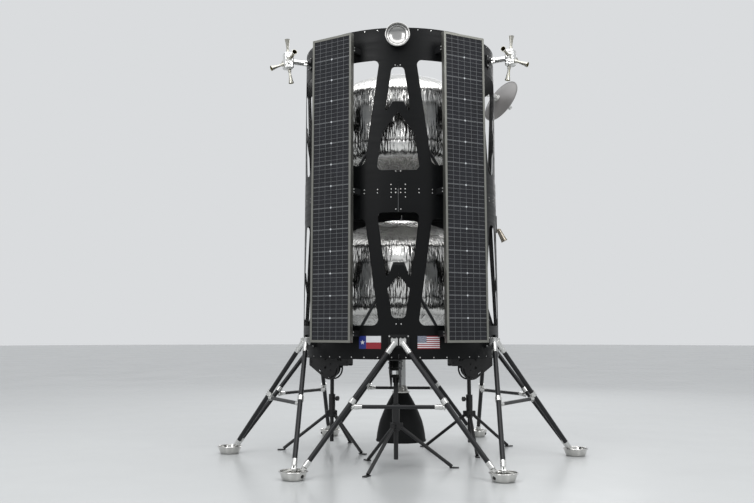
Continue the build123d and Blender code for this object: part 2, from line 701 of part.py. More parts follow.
def nozzle():
    """Open trumpet bell along +Z with its valve body below the throat."""
    neck = VALVE_LENGTH + 6
    middle = (neck + NOZZLE_LENGTH) / 2
    throat, exit_radius, wall = NOZZLE_THROAT_RADIUS, NOZZLE_EXIT_RADIUS, NOZZLE_WALL
    outer = ThreePointArc((throat + wall, neck), (throat + wall + 4, middle), (exit_radius, NOZZLE_LENGTH))
    inner = ThreePointArc((throat, neck), (throat + 4, middle), (exit_radius - wall, NOZZLE_LENGTH))
    valve = Polyline((throat + wall, neck), (VALVE_RADIUS, VALVE_LENGTH), (VALVE_RADIUS, 0), (0, 0),
                     (0, neck), (throat, neck))
    return revolve(Plane.XZ * make_face([outer, inner, valve, Line(outer @ 1, inner @ 1)]), Axis.Z)


# Columns: start sideways, outwards and up from the housing's middle, then the same for the direction
NOZZLE_DIRECTIONS = [
    (0, 4, HOUSING_HEIGHT / 2 - 2, 0.03, 0.06, 1.0),
    (0, -10, -HOUSING_HEIGHT / 2 + 2, 0.0, -0.16, -1.0),
    (-HOUSING_WIDTH / 2 + 2, -8, 18, -1.0, 0.0, 0.12),
    (HOUSING_WIDTH / 2 - 2, -8, 18, 1.0, 0.0, 0.12),
    (0, HOUSING_WIDTH / 2 - 4, -28, 0.0, 1.0, -0.45),
]

front_bracket = thruster_bracket()
front_arm = thruster_arm()
front_housing = thruster_housing()
front_nozzles = []
for side, out, up, dir_side, dir_out, dir_up in NOZZLE_DIRECTIONS:
    base = Vector(side, -THRUSTER_RADIUS - out, THRUSTER_HEIGHT + up)
    frame = Plane(origin=base, z_dir=Vector(dir_side, -dir_out, dir_up))
    front_nozzles.append((frame * nozzle() - front_housing).solids().sort_by(SortBy.VOLUME)[-1])
thruster_brackets = [turned(front_bracket, angle).solids()[0] for angle in THRUSTER_ANGLES]
arms = [turned(front_arm, angle).solids()[0] for angle in THRUSTER_ANGLES]
housings = [turned(front_housing, angle).solids()[0] for angle in THRUSTER_ANGLES]
nozzles = [turned(piece, angle).solids()[0] for angle in THRUSTER_ANGLES for piece in front_nozzles]
save(Compound(children=thruster_brackets), "thruster_brackets")
save(Compound(children=arms), "thruster_arms")
save(Compound(children=housings), "thruster_housings")
save(Compound(children=nozzles), "thruster_nozzles")

# Dish antenna on its swivel
# The local frame has +X along the dish's level heading and its origin at the ball
ball = Vector(*DISH_BALL)
dish_frame = Location(DISH_BALL, (0, 0, DISH_HEADING))
tilt_frame = dish_frame * Rot(0, DISH_DIP, 0)
swivel_axis = Vector(-DISH_SWIVEL_OFFSET, 0, 0)


def dish_bracket():
    """Pad on the shell, round arm and the barrel of the swivel."""
    barrel_centre = (dish_frame * Pos(*swivel_axis)).position
    angle = degrees(atan2(barrel_centre.X, -barrel_centre.Y))
    pad = turned(Pos(0, -SHELL_RADIUS, ball.Z + 16) * Box(60, 20, 74), angle)
    reach = hypot(barrel_centre.X, barrel_centre.Y)
    arm = rod(place(angle, SHELL_RADIUS - 6, ball.Z), place(angle, reach - 4, ball.Z), 9)
    barrel = Pos(*barrel_centre) * Cylinder(SWIVEL_RADIUS, SWIVEL_HEIGHT)
    bore = Pos(*barrel_centre) * Cylinder(SWIVEL_PIN_RADIUS + 0.2, 2 * SWIVEL_HEIGHT)
    return (pad + arm + barrel) - disc(SHELL_RADIUS, ball.Z - 60, ball.Z + 90) - bore


def dish_yoke():
    """Fork with a pin through the barrel and two ears beside the ball."""
    reach = DISH_SWIVEL_OFFSET
    cheek_z = SWIVEL_HEIGHT / 2 + 2 + YOKE_PLATE / 2
    width = 2 * YOKE_SPREAD + YOKE_PLATE
    whole = Pos(-reach, 0, 0) * Cylinder(SWIVEL_PIN_RADIUS, 2 * cheek_z + 3)
    for side in (-1, 1):
        cheek = Pos(-reach, 0, side * cheek_z) * Cylinder(SWIVEL_RADIUS, YOKE_PLATE)
        strap = Pos(-reach / 2 - 10, 0, side * cheek_z) * Box(reach - 20, width, YOKE_PLATE)
        back = Pos(-reach / 2 - 2, side * YOKE_SPREAD, 0) * Box(18, YOKE_PLATE, 2 * cheek_z + YOKE_PLATE)
        ear = Rot(90, 0, 0) * Cylinder(9, YOKE_PLATE) + Pos(-7, 0, 0) * Box(14, YOKE_PLATE, 18)
        whole = whole + cheek + strap + back + Pos(0, side * YOKE_SPREAD, 0) * ear
    bore = Rot(90, 0, 0) * Cylinder(TILT_PIN_RADIUS + 0.2, 2 * width)
    return dish_frame * (whole - bore)


def reflector():
    """Shallow round dish with a rolled rim, open towards +X."""
    outer = ThreePointArc((0, 0), (DISH_RADIUS / 2, DISH_DEPTH / 4), (DISH_RADIUS, DISH_DEPTH))
    inner = ThreePointArc((0, DISH_WALL), (DISH_RADIUS / 2, DISH_DEPTH / 4 + DISH_WALL),
                          (DISH_RADIUS - DISH_WALL, DISH_DEPTH + 2))
    face = make_face([outer, inner, Line(outer @ 0, inner @ 0), Line(outer @ 1, inner @ 1)])
    skin = revolve(Plane.XZ * face, Axis.Z)
    rim = Pos(0, 0, DISH_DEPTH) * (Cylinder(DISH_RADIUS + 3, 7) - Cylinder(DISH_RADIUS - 4, 9))
    return tilt_frame * Pos(DISH_VERTEX_OFFSET, 0, 0) * Rot(0, 90, 0) * (skin + rim)


def dish_hub():
    """Ball with its pin and the boss on the back of the dish."""
    lengthwise = Rot(0, 90, 0)
    boss = Pos(DISH_VERTEX_OFFSET / 2, 0, 0) * lengthwise * Cylinder(11, DISH_VERTEX_OFFSET)
    flange = Pos(DISH_VERTEX_OFFSET - 2, 0, 0) * lengthwise * Cylinder(30, 5)
    pin = Rot(90, 0, 0) * Cylinder(TILT_PIN_RADIUS, 2 * YOKE_SPREAD + 8.4)
    return tilt_frame * (Sphere(DISH_BALL_RADIUS) + boss + flange + pin)


def dish_feed():
    """Three legs that hold the feed horn in front of the dish."""
    horn_length = 46.0
    mouth = FEED_FOCUS + horn_length / 2 + 7
    whole = Pos(FEED_FOCUS, 0, 0) * Rot(0, 90, 0) * Cone(11, 20, horn_length)
    whole = whole + Pos(mouth, 0, 0) * Rot(0, 90, 0) * Cylinder(20, 14)
    for number in range(3):
        turn = Rot(number * 120, 0, 0)
        start = (turn * Pos(DISH_VERTEX_OFFSET + 14, 0, FEED_LEG_CIRCLE)).position
        end = (turn * Pos(mouth - 4, 0, 12)).position
        whole = whole + rod(start, end, FEED_LEG_RADIUS)
    return tilt_frame * whole


antenna_reflector = reflector()
antenna_hub = dish_hub() - antenna_reflector
antenna_feed = dish_feed() - antenna_reflector
save(dish_bracket(), "dish_bracket")
save(dish_yoke(), "dish_yoke")
save(antenna_reflector, "dish_reflector")
save(antenna_hub.solids().sort_by(SortBy.VOLUME)[-1], "dish_hub")
save(antenna_feed.solids().sort_by(SortBy.VOLUME)[-1], "dish_feed")

# Round lamp at the top of the front and the small sensor on the right side

def lamp_bowl():
    """Shallow bowl with two steps and a rolled rim that opens forwards, on a short stem from the shell."""
    rim = LAMP_RADIUS - LAMP_BEAD
    bead_depth = LAMP_DEPTH - LAMP_BEAD
    stem_radius = 30
    stem_end = -1.5 * LAMP_STANDOFF
    face = make_face([
        Polyline((0, stem_end), (stem_radius, stem_end), (stem_radius, 2)),
        ThreePointArc((stem_radius, 2), (52, 8), (70, 19)),
        Polyline((70, 19), (rim, 37), (rim, bead_depth), (rim - 6, bead_depth), (79, 32), (67, 28), (64, 21)),
        ThreePointArc((64, 21), (44, 11), (20, 7)),
        Polyline((20, 7), (0, 7), (0, stem_end)),
    ])
    bead = Pos(rim, bead_depth) * Circle(LAMP_BEAD)
    shape = revolve(Plane.XZ * (face + bead), Axis.Z)
    whole = Pos(0, -SHELL_RADIUS - LAMP_STANDOFF, LAMP_HEIGHT) * Rot(90, 0, 0) * shape
    return whole - disc(SHELL_RADIUS, LAMP_HEIGHT - 120, LAMP_HEIGHT + 120)


save(lamp_bowl(), "front_lamp")


def side_sensor():
    """Tapered barrel that leans away from the shell at its lower end, on a short bracket."""
    barrel = Cone(24, 17, SENSOR_LENGTH)
    lip = Pos(0, 0, -SENSOR_LENGTH / 2) * Cylinder(26, 8)
    cap = Pos(0, 0, SENSOR_LENGTH / 2) * Cylinder(18, 8)
    barrel = Pos(0, -SENSOR_RADIUS, SENSOR_HEIGHT) * Rot(-SENSOR_LEAN, 0, 0) * (barrel + lip + cap)
    bracket = Pos(0, -SHELL_RADIUS - 12, SENSOR_HEIGHT + SENSOR_LENGTH / 2 - 10) * Box(22, 36, 30)
    return (barrel + bracket) - disc(SHELL_RADIUS, SENSOR_HEIGHT - 100, SENSOR_HEIGHT + 100)


sensor = turned(side_sensor(), SENSOR_ANGLE)
save(sensor.solids().sort_by(SortBy.VOLUME)[-1], "side_sensor")


# Display tripods under the shell

def tripod_legs():
    """Hub with three straight legs that end in flat feet, standing on the floor at the origin."""
    hub_middle = (TRIPOD_HUB_BOTTOM + TRIPOD_HUB_TOP) / 2
    foot_length, _, foot_height = TRIPOD_FOOT
    root = TRIPOD_HUB_BOTTOM + 26
    hub = Pos(0, 0, hub_middle) * Cylinder(TRIPOD_HUB_RADIUS, TRIPOD_HUB_TOP - TRIPOD_HUB_BOTTOM)
    for number in range(3):
        ear = Pos(TRIPOD_HUB_RADIUS + 6, 0, root + 6) * Box(36, 34, 46)
        leg = rod((TRIPOD_HUB_RADIUS + 8, 0, root), (TRIPOD_REACH - 48, 0, foot_height + 4), TRIPOD_LEG_RADIUS)
        foot = Pos(TRIPOD_REACH - foot_length / 2, 0, foot_height / 2) * Box(*TRIPOD_FOOT)
        hub = hub + Rot(0, 0, number * 120) * (ear + leg + foot)
    above_floor = Pos(0, 0, TRIPOD_HUB_TOP) * Box(3 * TRIPOD_REACH, 3 * TRIPOD_REACH, 2 * TRIPOD_HUB_TOP)
    return (hub & above_floor) - Cylinder(MAST_DIAMETER / 2, 2 * MAST_TOP)


def tripod_mast():
    """Upright tube with a clamp above the hub, whose knob faces the body axis."""
    mast = Pos(0, 0, (MAST_BOTTOM + MAST_TOP) / 2) * Cylinder(MAST_DIAMETER / 2, MAST_TOP - MAST_BOTTOM)
    clamp = Pos(0, 0, (TRIPOD_HUB_TOP + CLAMP_TOP) / 2) * Cylinder(CLAMP_RADIUS, CLAMP_TOP - TRIPOD_HUB_TOP)
    screw = rod((0, 0, KNOB_HEIGHT), (-CLAMP_RADIUS - 20, 0, KNOB_HEIGHT), 8)
    grip = rod((-CLAMP_RADIUS - 16, 0, KNOB_HEIGHT), (-CLAMP_RADIUS - 34, 0, KNOB_HEIGHT), 19)
    return mast + clamp + screw + grip


# Straight slots of a head plate
# Columns: outwards, height, length, angle
HEAD_SLOTS = ((-97, 724, 32, 45), (-74, 724, 32, 45), (42, 724, 32, -45), (88, 620, 52, 34))


def head_outline():
    """Outline of one head plate: a shoulder outwards, a round bottom and a tab inwards, with slots.
    X points outwards from the body axis and Y is the height."""
    centre_x, centre_z = HEAD_ROUND_CENTRE
    top = SHELL_BOTTOM - HEAD_CAP
    away = (HEAD_REACH - centre_x, HEAD_SHOULDER - centre_z)
    touch = degrees(atan2(away[1], away[0]) - acos(HEAD_ROUND_RADIUS / hypot(*away)))
    bottom = CenterArc(HEAD_ROUND_CENTRE, HEAD_ROUND_RADIUS, touch, -180 - touch)
    inner = centre_x - HEAD_ROUND_RADIUS
    corner = (-HEAD_TAB_REACH, HEAD_SHOULDER)
    sides = Polyline(bottom @ 1, (inner, HEAD_SHOULDER), corner, (-HEAD_TAB_REACH, top),
                     (HEAD_REACH, top), (HEAD_REACH, HEAD_SHOULDER), bottom @ 0)
    face = make_face([bottom, sides])
    face = fillet(face.vertices().sort_by_distance(corner)[0], 12)
    slots = SlotArc(CenterArc(HEAD_ROUND_CENTRE, HEAD_ROUND_RADIUS - 18, -178, 92), 12)
    slots += Pos(45, 655) * Circle(11)
    for x, height, length, angle in HEAD_SLOTS:
        slots += Pos(x, height) * Rot(0, 0, angle) * SlotOverall(length, 9)
    return face - slots


def tripod_head():
    """Two plates under the shell's edge with a cap, a cross bar, an end plate and the socket of the mast.
    The local +X points outwards from the body axis."""
    plate = Plane.XZ * head_outline()
    gap = 2 * HEAD_SPREAD
    length = HEAD_REACH + HEAD_TAB_REACH
    middle = (HEAD_REACH - HEAD_TAB_REACH) / 2
    whole = Pos(middle, 0, SHELL_BOTTOM - HEAD_CAP / 2) * Box(length + 12, gap + 30, HEAD_CAP)
    for side in (-1, 1):
        whole = whole + Pos(0, side * HEAD_SPREAD + HEAD_PLATE / 2, 0) * extrude(plate, amount=HEAD_PLATE)
    whole = whole + Pos(0, 0, HEAD_SHOULDER + 13) * Box(30, gap, 22)
    tab_end = Pos(-HEAD_TAB_REACH + HEAD_PLATE / 2, 0, (HEAD_SHOULDER + SHELL_BOTTOM) / 2)
    whole = whole + tab_end * Box(HEAD_PLATE, gap, 52)
    whole = whole + Pos(0, 0, MAST_TOP - 5) * Box(40, gap, 22)
    whole = whole + Pos(0, 0, MAST_TOP - 22) * Cylinder(MAST_DIAMETER / 2 + 6, 56)
    return whole - Pos(0, 0, MAST_TOP / 2) * Cylinder(MAST_DIAMETER / 2, MAST_TOP)


masts = []
stand_legs = []
stand_heads = []
for angle, radius, leg_turn in TRIPOD_PLACES:
    outward = Pos(*place(angle, radius, 0)) * Rot(0, 0, angle - 90)
    masts.append((outward * tripod_mast()).solids()[0])
    stand_legs.append((outward * Rot(0, 0, leg_turn) * tripod_legs()).solids()[0])
    stand_heads.append((outward * tripod_head()).solids()[0])
save(Compound(children=masts), "tripod_masts")
save(Compound(children=stand_legs), "tripod_legs")
save(Compound(children=stand_heads), "tripod_heads")
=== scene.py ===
"""Dresses a full-size lunar lander display model with its paint, foil, solar cells and small hardware."""
from math import asin, atan2, cos, degrees, pi, radians, sin

import bmesh
import bpy
from mathutils import Matrix, Vector


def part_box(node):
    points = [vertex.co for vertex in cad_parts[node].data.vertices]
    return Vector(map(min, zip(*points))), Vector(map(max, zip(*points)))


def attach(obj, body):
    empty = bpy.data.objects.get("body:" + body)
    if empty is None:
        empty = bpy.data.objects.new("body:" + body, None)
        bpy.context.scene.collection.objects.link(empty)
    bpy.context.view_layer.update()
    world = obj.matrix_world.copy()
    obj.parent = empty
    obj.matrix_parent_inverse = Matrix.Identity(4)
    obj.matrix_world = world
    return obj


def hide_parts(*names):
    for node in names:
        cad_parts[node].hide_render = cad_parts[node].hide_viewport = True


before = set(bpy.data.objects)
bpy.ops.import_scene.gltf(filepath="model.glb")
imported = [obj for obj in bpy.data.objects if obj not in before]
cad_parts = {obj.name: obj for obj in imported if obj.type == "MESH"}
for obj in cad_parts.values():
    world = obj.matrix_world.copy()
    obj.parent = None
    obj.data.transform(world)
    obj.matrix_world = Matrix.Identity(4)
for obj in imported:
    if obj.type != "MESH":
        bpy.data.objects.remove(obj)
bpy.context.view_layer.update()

bl_info = {
    "name": "Lunar Lander Display Model",
    "version": (1, 0, 0),
    "blender": (4, 5, 0),
    "location": "View3D > Sidebar > Lander",
    "description": "Paint, foil, solar cells and hardware for a lunar lander display model",
    "category": "Object",
}

# The frame: metres, body axis on +Z, floor at z = 0, front towards -Y
# Angles are in degrees round the body, 0 at the front and positive towards +X
SHELL_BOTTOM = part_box("shell_front_right")[0].z
SHELL_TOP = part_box("shell_front_right")[1].z
SHELL_RADIUS = 0.769
SHELL_NODES = ("shell_front_right", "shell_rear_right", "shell_rear_left", "shell_front_left")
SIDES = 6
FULL_TURN = 360.0
LEG_STEP = FULL_TURN / SIDES
UP = Vector((0.0, 0.0, 1.0))
EVEN = (1.0, 1.0, 1.0)
SMOOTH_ANGLE = 35.0


# Small tools for shapes

def place(angle, radius, height, side=0.0):
    """Point at an angle round the body, moved sideways towards larger angles."""
    a = radians(angle)
    return Vector((radius * sin(a) + side * cos(a), side * sin(a) - radius * cos(a), height))


def outward(angle, lift=0.0):
    """Direction away from the body axis at an angle, raised by a lift."""
    return place(angle, 1.0, lift).normalized()


def turn(angle, axis="Z"):
    """Matrix that turns about an axis."""
    return Matrix.Rotation(radians(angle), 4, axis)


def aimed(origin, direction):
    """Matrix whose Z runs along a direction and whose Y leans upwards."""
    z = Vector(direction).normalized()
    x = UP.cross(z)
    if x.length < 1e-4:
        x = Vector((1.0, 0.0, 0.0))
    x.normalize()
    return Matrix.Translation(origin) @ Matrix((x, z.cross(x), z)).transposed().to_4x4()


def arc(centre, radius, start, end, steps):
    """Points of an arc in an outline, angles in degrees."""
    angles = [radians(start + (end - start) * step / steps) for step in range(steps + 1)]
    return [(centre[0] + radius * cos(a), centre[1] + radius * sin(a)) for a in angles]


def revolve(profile, segments, closed=False):
    """Vertices and faces of an outline of (radius, height) turned about Z, with poles at radius 0."""
    vertices, rings, faces = [], [], []
    for radius, height in profile:
        count = segments if radius else 1
        rings.append([len(vertices) + step % count for step in range(segments)])
        angles = [2 * pi * step / segments for step in range(count)]
        vertices += [(radius * cos(a), radius * sin(a), height) for a in angles]
    for low, high in zip(rings, rings[1:] + rings[:1] if closed else rings[1:]):
        for step in range(segments):
            after = (step + 1) % segments
            corners = list(dict.fromkeys((low[step], low[after], high[after], high[step])))
            if len(corners) > 2:
                faces.append(corners)
    return vertices, faces


def bar(size, bevel=0.0):
    """Vertices and faces of a box about the origin with bevelled edges."""
    shape = bmesh.new()
    bmesh.ops.create_cube(shape, size=1.0, matrix=Matrix.Diagonal((*size, 1.0)))
    if bevel:
        bmesh.ops.bevel(shape, geom=shape.edges[:], offset=bevel, segments=2, affect="EDGES", profile=0.6)
    shape.verts.index_update()
    vertices = [tuple(v.co) for v in shape.verts]
    faces = [[v.index for v in f.verts] for f in shape.faces]
    shape.free()
    return vertices, faces


def curved_plate(angles, heights, radii, steps=1):
    """Vertices and faces of a plate bent round the body between two angles, two heights and two radii."""
    turns = [angles[0] + (angles[1] - angles[0]) * step / steps for step in range(steps + 1)]
    vertices = [tuple(place(angle, radius, height))
                for angle in turns for radius in radii for height in heights]
    faces = [[0, 1, 3, 2], [4 * steps + n for n in (0, 2, 3, 1)]]
    for step in range(steps):
        here, after = 4 * step, 4 * step + 4
        faces += [[here + first, after + first, after + second, here + second]
                  for first, second in ((0, 1), (1, 3), (3, 2), (2, 0))]
    return vertices, faces


def ring_part(radius, thickness, height):
    """Vertices and faces of a round-section ring about Z."""
    return revolve(arc((radius, height), thickness, 0, FULL_TURN, 10)[:-1], 96, closed=True)


def moved(part, matrix):
    """Vertices and faces taken through a matrix."""
    vertices, faces = part
    return [tuple(matrix @ Vector(v)) for v in vertices], faces


def joined(parts):
    """Several vertex and face lists as one."""
    vertices, faces = [], []
    for more_vertices, more_faces in parts:
        start = len(vertices)
        vertices += more_vertices
        faces += [[index + start for index in face] for face in more_faces]
    return vertices, faces


def mesh_of(name, part, material, sharp=SMOOTH_ANGLE):
    """Mesh with outward faces, smooth up to an angle."""
    mesh = bpy.data.meshes.new(name)
    mesh.from_pydata(part[0], [], part[1])
    shape = bmesh.new()
    shape.from_mesh(mesh)
    bmesh.ops.remove_doubles(shape, verts=shape.verts[:], dist=1e-6)
    bmesh.ops.recalc_face_normals(shape, faces=shape.faces[:])
    shape.to_mesh(mesh)
    shape.free()
    mesh.shade_smooth()
    mesh.set_sharp_from_angle(angle=radians(sharp))
    mesh.materials.append(material)
    return mesh


def piece(name, mesh, body="lander", stands_for=()):
    """Object at the origin that rides on a body of the frame."""
    thing = bpy.data.objects.new(name, mesh)
    bpy.context.scene.collection.objects.link(thing)
    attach(thing, body)
    if stands_for:
        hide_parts(*stands_for)
    return thing


def solid(name, part, material, stands_for=(), sharp=SMOOTH_ANGLE):
    """Piece of the fixed body straight from vertices and faces."""
    return piece(name, mesh_of(name, part, material, sharp), stands_for=stands_for)


def dress(nodes, material):
    """Gives nodes of the frame their finish."""
    for name in nodes:
        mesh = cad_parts[name].data
        mesh.materials.clear()
        mesh.materials.append(material)


# Small tools for node trees

MATH, VECTOR_MATH, MAP_RANGE = "ShaderNodeMath", "ShaderNodeVectorMath", "ShaderNodeMapRange"
NOISE, COMBINE = "ShaderNodeTexNoise", "ShaderNodeCombineXYZ"


def add(tree, kind, inputs=(), **settings):
    """Adds a node, sets its properties, and gives its inputs, by name or in order, a value or links.

    A node among the inputs stands for its first open output, and a list links each of its items.
    """
    node = tree.nodes.new(kind)
    for name, value in settings.items():
        setattr(node, name, value)
    if not isinstance(inputs, dict):
        inputs = dict(zip((index for index, socket in enumerate(node.inputs) if socket.enabled), inputs))
    for key, value in inputs.items():
        for item in value if isinstance(value, list) else [value]:
            if isinstance(item, bpy.types.Node):
                item = next(socket for socket in item.outputs if socket.enabled)
            if isinstance(item, bpy.types.NodeSocket):
                tree.links.new(item, node.inputs[key])
            else:
                node.inputs[key].default_value = item
    return node


def linear(code):
    """Linear red, green and blue of an sRGB hex colour."""
    parts = [int(code[index:index + 2], 16) / 255 for index in (1, 3, 5)]
    return tuple(c / 12.92 if c <= 0.04045 else ((c + 0.055) / 1.055) ** 2.4 for c in parts)


def shade(colour, factor=1.0):
    """Linear numbers of a hex code or of three numbers, made darker or lighter by a factor."""
    return tuple(min(1.0, c * factor) for c in (linear(colour) if isinstance(colour, str) else colour))


def clouded(tree, here, scale, detail, start, end, dark, light):
    """Colour that runs from dark to light as soft clouds go from start to end, and the clouds."""
    cloud = add(tree, NOISE, {"Vector": here, "Scale": scale, "Detail": detail})
    stops = ((start,) * 3, (end,) * 3, dark, light)
    return add(tree, MAP_RANGE, (cloud, *stops), data_type="FLOAT_VECTOR"), cloud


def grained(tree, here, stretch, scale, strength, distance, detail=2.0):
    """Normal of a fine grain that may stretch along an axis, and the grain."""
    along = add(tree, "ShaderNodeMapping", {"Vector": here, "Scale": stretch})
    grain = add(tree, NOISE, {"Vector": along, "Scale": scale, "Detail": detail})
    return add(tree, "ShaderNodeBump", {"Height": grain, "Strength": strength, "Distance": distance}), grain


def by_height(tree, level, stops):
    """Grey value that runs through stops of (position, value) as a level goes from 0 to 1."""
    node = add(tree, "ShaderNodeValToRGB", (level,))
    marks = node.color_ramp.elements
    while len(marks) < len(stops):
        marks.new(0.5)
    for mark, (position, value) in zip(marks, stops):
        mark.position = position
        mark.color = (value, value, value, 1.0)
    return node


FOLD_SQUEEZE = 0.16


def wrapped(tree, here, middle, radius):
    """Coordinates round a tank and along its outline, and the height above its middle.

    Folds stay upright in them and turn radial on a dome.
    """
    flat = add(tree, VECTOR_MATH, (here, (1.0, 1.0, 0.0)), operation="MULTIPLY")
    away = add(tree, VECTOR_MATH, (flat,), operation="LENGTH")
    facing = add(tree, VECTOR_MATH, (flat,), operation="NORMALIZE")
    round_it = add(tree, VECTOR_MATH, (facing, radius), operation="SCALE")
    height = add(tree, "ShaderNodeSeparateXYZ", (here,)).outputs["Z"]
    rise = add(tree, MATH, (height, middle), operation="SUBTRACT")
    inward = add(tree, MATH, (radius, away), operation="SUBTRACT")
    half = add(tree, MATH, (rise,), operation="SIGN")
    run = add(tree, MATH, (half, inward, rise), operation="MULTIPLY_ADD")
    upright = add(tree, COMBINE, {"Z": add(tree, MATH, (run, FOLD_SQUEEZE), operation="MULTIPLY")})
    return add(tree, VECTOR_MATH, (round_it, upright), operation="ADD"), rise


def new_shape_tree(name, sockets):
    """Geometry tree with named inputs; returns it with the values that it is given."""
    tree = bpy.data.node_groups.new(name, "GeometryNodeTree")
    for label, kind in {"Geometry": "Geometry", **sockets}.items():
        tree.interface.new_socket(name=label, in_out="INPUT", socket_type=f"NodeSocket{kind}")
    tree.interface.new_socket(name="Geometry", in_out="OUTPUT", socket_type="NodeSocketGeometry")
    return tree, add(tree, "NodeGroupInput").outputs


def covered(tree, shape, finish):
    """Shape with its instances made real and its finish set."""
    real = add(tree, "GeometryNodeRealizeInstances", (shape,))
    return add(tree, "GeometryNodeSetMaterial", {"Geometry": real, "Material": finish})


def lifted(tree, shape, height, share):
    """Shape moved up its own Z by a share of a height."""
    lift = add(tree, COMBINE, {"Z": add(tree, MATH, (height, share), operation="MULTIPLY")})
    return add(tree, "GeometryNodeTransform", {"Geometry": shape, "Translation": lift})


def grown(name, mesh, tree, values):
    """Plain mesh that a geometry tree makes from a start mesh, with the tree's inputs set by name."""
    thing = bpy.data.objects.new(name, mesh)
    bpy.context.scene.collection.objects.link(thing)
    modifier = thing.modifiers.new("Shape", "NODES")
    modifier.node_group = tree
    for item in tree.interface.items_tree:
        if item.in_out == "INPUT" and item.name in values:
            modifier[item.identifier] = values[item.name]
    graph = bpy.context.evaluated_depsgraph_get()
    result = bpy.data.meshes.new_from_object(thing.evaluated_get(graph), depsgraph=graph)
    thing.modifiers.clear()
    bpy.data.objects.remove(thing)
    result.name = name
    return result


# Finishes

def new_finish(name):
    """New material; returns it with its empty tree and the object coordinates."""
    material = bpy.data.materials.new(name)
    material.use_nodes = True
    tree = material.node_tree
    tree.nodes.clear()
    return material, tree, add(tree, "ShaderNodeTexCoord").outputs["Object"]


def shaded(material, inputs):
    """Ends a material with a shader that has these inputs."""
    surface = add(material.node_tree, "ShaderNodeBsdfPrincipled", inputs)
    add(material.node_tree, "ShaderNodeOutputMaterial", {"Surface": surface})
    return material


# A scale counts waves to a metre. Real tool lines, orange peel and printing grain are too fine to show,
# so grain is drawn 1 to 8 mm wide, at a scale of 900 to 120

def sheet_paint():
    """Satin black polyurethane paint sprayed on rolled sheet: an even skin with a broad, soft shine."""
    material, tree, here = new_finish("Satin black sheet paint")
    dark = shade(settings("shell").paint)
    rolled = add(tree, "ShaderNodeMapping", {"Vector": here, "Scale": (1.0, 1.0, 14.0)})
    rolled = add(tree, NOISE, {"Vector": rolled, "Scale": 3.0, "Detail": 2.0})
    return shaded(material, {
        "Base Color": clouded(tree, here, 2.2, 4.0, 0.35, 0.7, dark, shade(dark, 1.35))[0],
        "Roughness": add(tree, MAP_RANGE, (rolled, 0.3, 0.7, 0.36, 0.48)), "Specular IOR Level": 0.15,
        "Normal": grained(tree, here, EVEN, 420.0, 0.08, 0.0004, detail=1.0)[0]})


def metal(name, colour, roughness, grain=EVEN, grain_scale=260.0, depth=0.12, uneven=0.08, stain=0.88):
    """Machined or drawn metal: tool lines along one axis and a slightly uneven brightness."""
    material, tree, here = new_finish(name)
    relief, lines = grained(tree, here, grain, grain_scale, depth, 0.0005)
    return shaded(material, {
        "Base Color": clouded(tree, here, 16.0, 3.0, 0.35, 0.65, shade(colour, stain), shade(colour))[0],
        "Roughness": add(tree, MAP_RANGE, (lines, 0.3, 0.7, roughness - uneven, roughness + uneven)),
        "Metallic": 1.0, "Normal": relief})


def coated(name, colour, roughness, grain_scale, depth, lighter=1.4, grain=EVEN, shine=0.5):
    """Painted or powder-coated part: an even colour with a fine skin and faint dust."""
    material, tree, here = new_finish(name)
    tone, cloud = clouded(tree, here, 9.0, 4.0, 0.4, 0.75, shade(colour), shade(colour, lighter))
    return shaded(material, {
        "Base Color": tone, "Roughness": add(tree, MAP_RANGE, (cloud, 0.35, 0.7, roughness, roughness + 0.1)),
        "Specular IOR Level": shine, "Normal": grained(tree, here, grain, grain_scale, depth, 0.0006)[0]})


FINE_FACETS = 1.9
FINE_SHARE = 0.4


def facets(tree, along, here, colour, depth, scale, roughness):
    """Shader inputs of aluminised film: a worn mirror, broken into small flat facets."""
    folds = add(tree, "ShaderNodeTexVoronoi", {"Vector": along, "Scale": scale})
    fine = add(tree, NOISE, {"Vector": along, "Scale": scale * FINE_FACETS, "Detail": 1.0, "Distortion": 0.5})
    tone, cloud = clouded(tree, here, 6.0, 3.0, 0.3, 0.6, shade(colour, 0.88), shade(colour))
    height = add(tree, MATH, (fine, FINE_SHARE, folds), operation="MULTIPLY_ADD")
    height = add(tree, MATH, (height, depth), operation="MULTIPLY")
    worn = add(tree, MAP_RANGE, (cloud, 0.35, 0.7, 0.0, 0.07))
    return {"Base Color": tone, "Metallic": 1.0,
            "Roughness": add(tree, MATH, (worn, roughness), operation="ADD"),
            "Normal": add(tree, "ShaderNodeBump", {"Height": height, "Strength": 1.0, "Distance": 1.0})}


def foil(name, colour, depth, scale, roughness):
    """Aluminised film crumpled round a small part."""
    material, tree, here = new_finish(name)
    return shaded(material, facets(tree, here, here, colour, depth, scale, roughness))


# Facets of the film are about 16 mm wide
FACET_DEPTH = 0.0042
FACET_SCALE = 62.0
TONE_WANDER = 0.085


def tank_film(name, colour, low, high, painted_bands):
    """Aluminised film smoothed by hand over a tank: streaks along its outline, with painted shade and a
    painted reflection as grey bands by height.
    """
    material, tree, here = new_finish(name)
    along, rise = wrapped(tree, here, (low + high) / 2, TANK_RADIUS)
    reach = (high - low) / 2 + TANK_DOME
    wander = add(tree, NOISE, {"Vector": along, "Scale": 20.0, "Detail": 4.0, "Roughness": 0.7})
    wander = add(tree, MATH, (wander, 0.5), operation="SUBTRACT")
    level = add(tree, MATH, (rise, 0.5 / reach, 0.5), operation="MULTIPLY_ADD")
    level = add(tree, MATH, (wander, TONE_WANDER, level), operation="MULTIPLY_ADD")
    depth = add(tree, MATH, (by_height(tree, level, FACETS), FACET_DEPTH), operation="MULTIPLY")
    skin = facets(tree, along, here, colour, depth, FACET_SCALE, by_height(tree, level, BLURS))
    # Painted shade at the creases and a painted reflection of the black shell, multiplied into the film's
    # colour
    tone = add(tree, "ShaderNodeMix", (1.0, skin["Base Color"], by_height(tree, level, painted_bands)),
               data_type="RGBA", blend_type="MULTIPLY")
    return shaded(material, {**skin, "Base Color": tone})


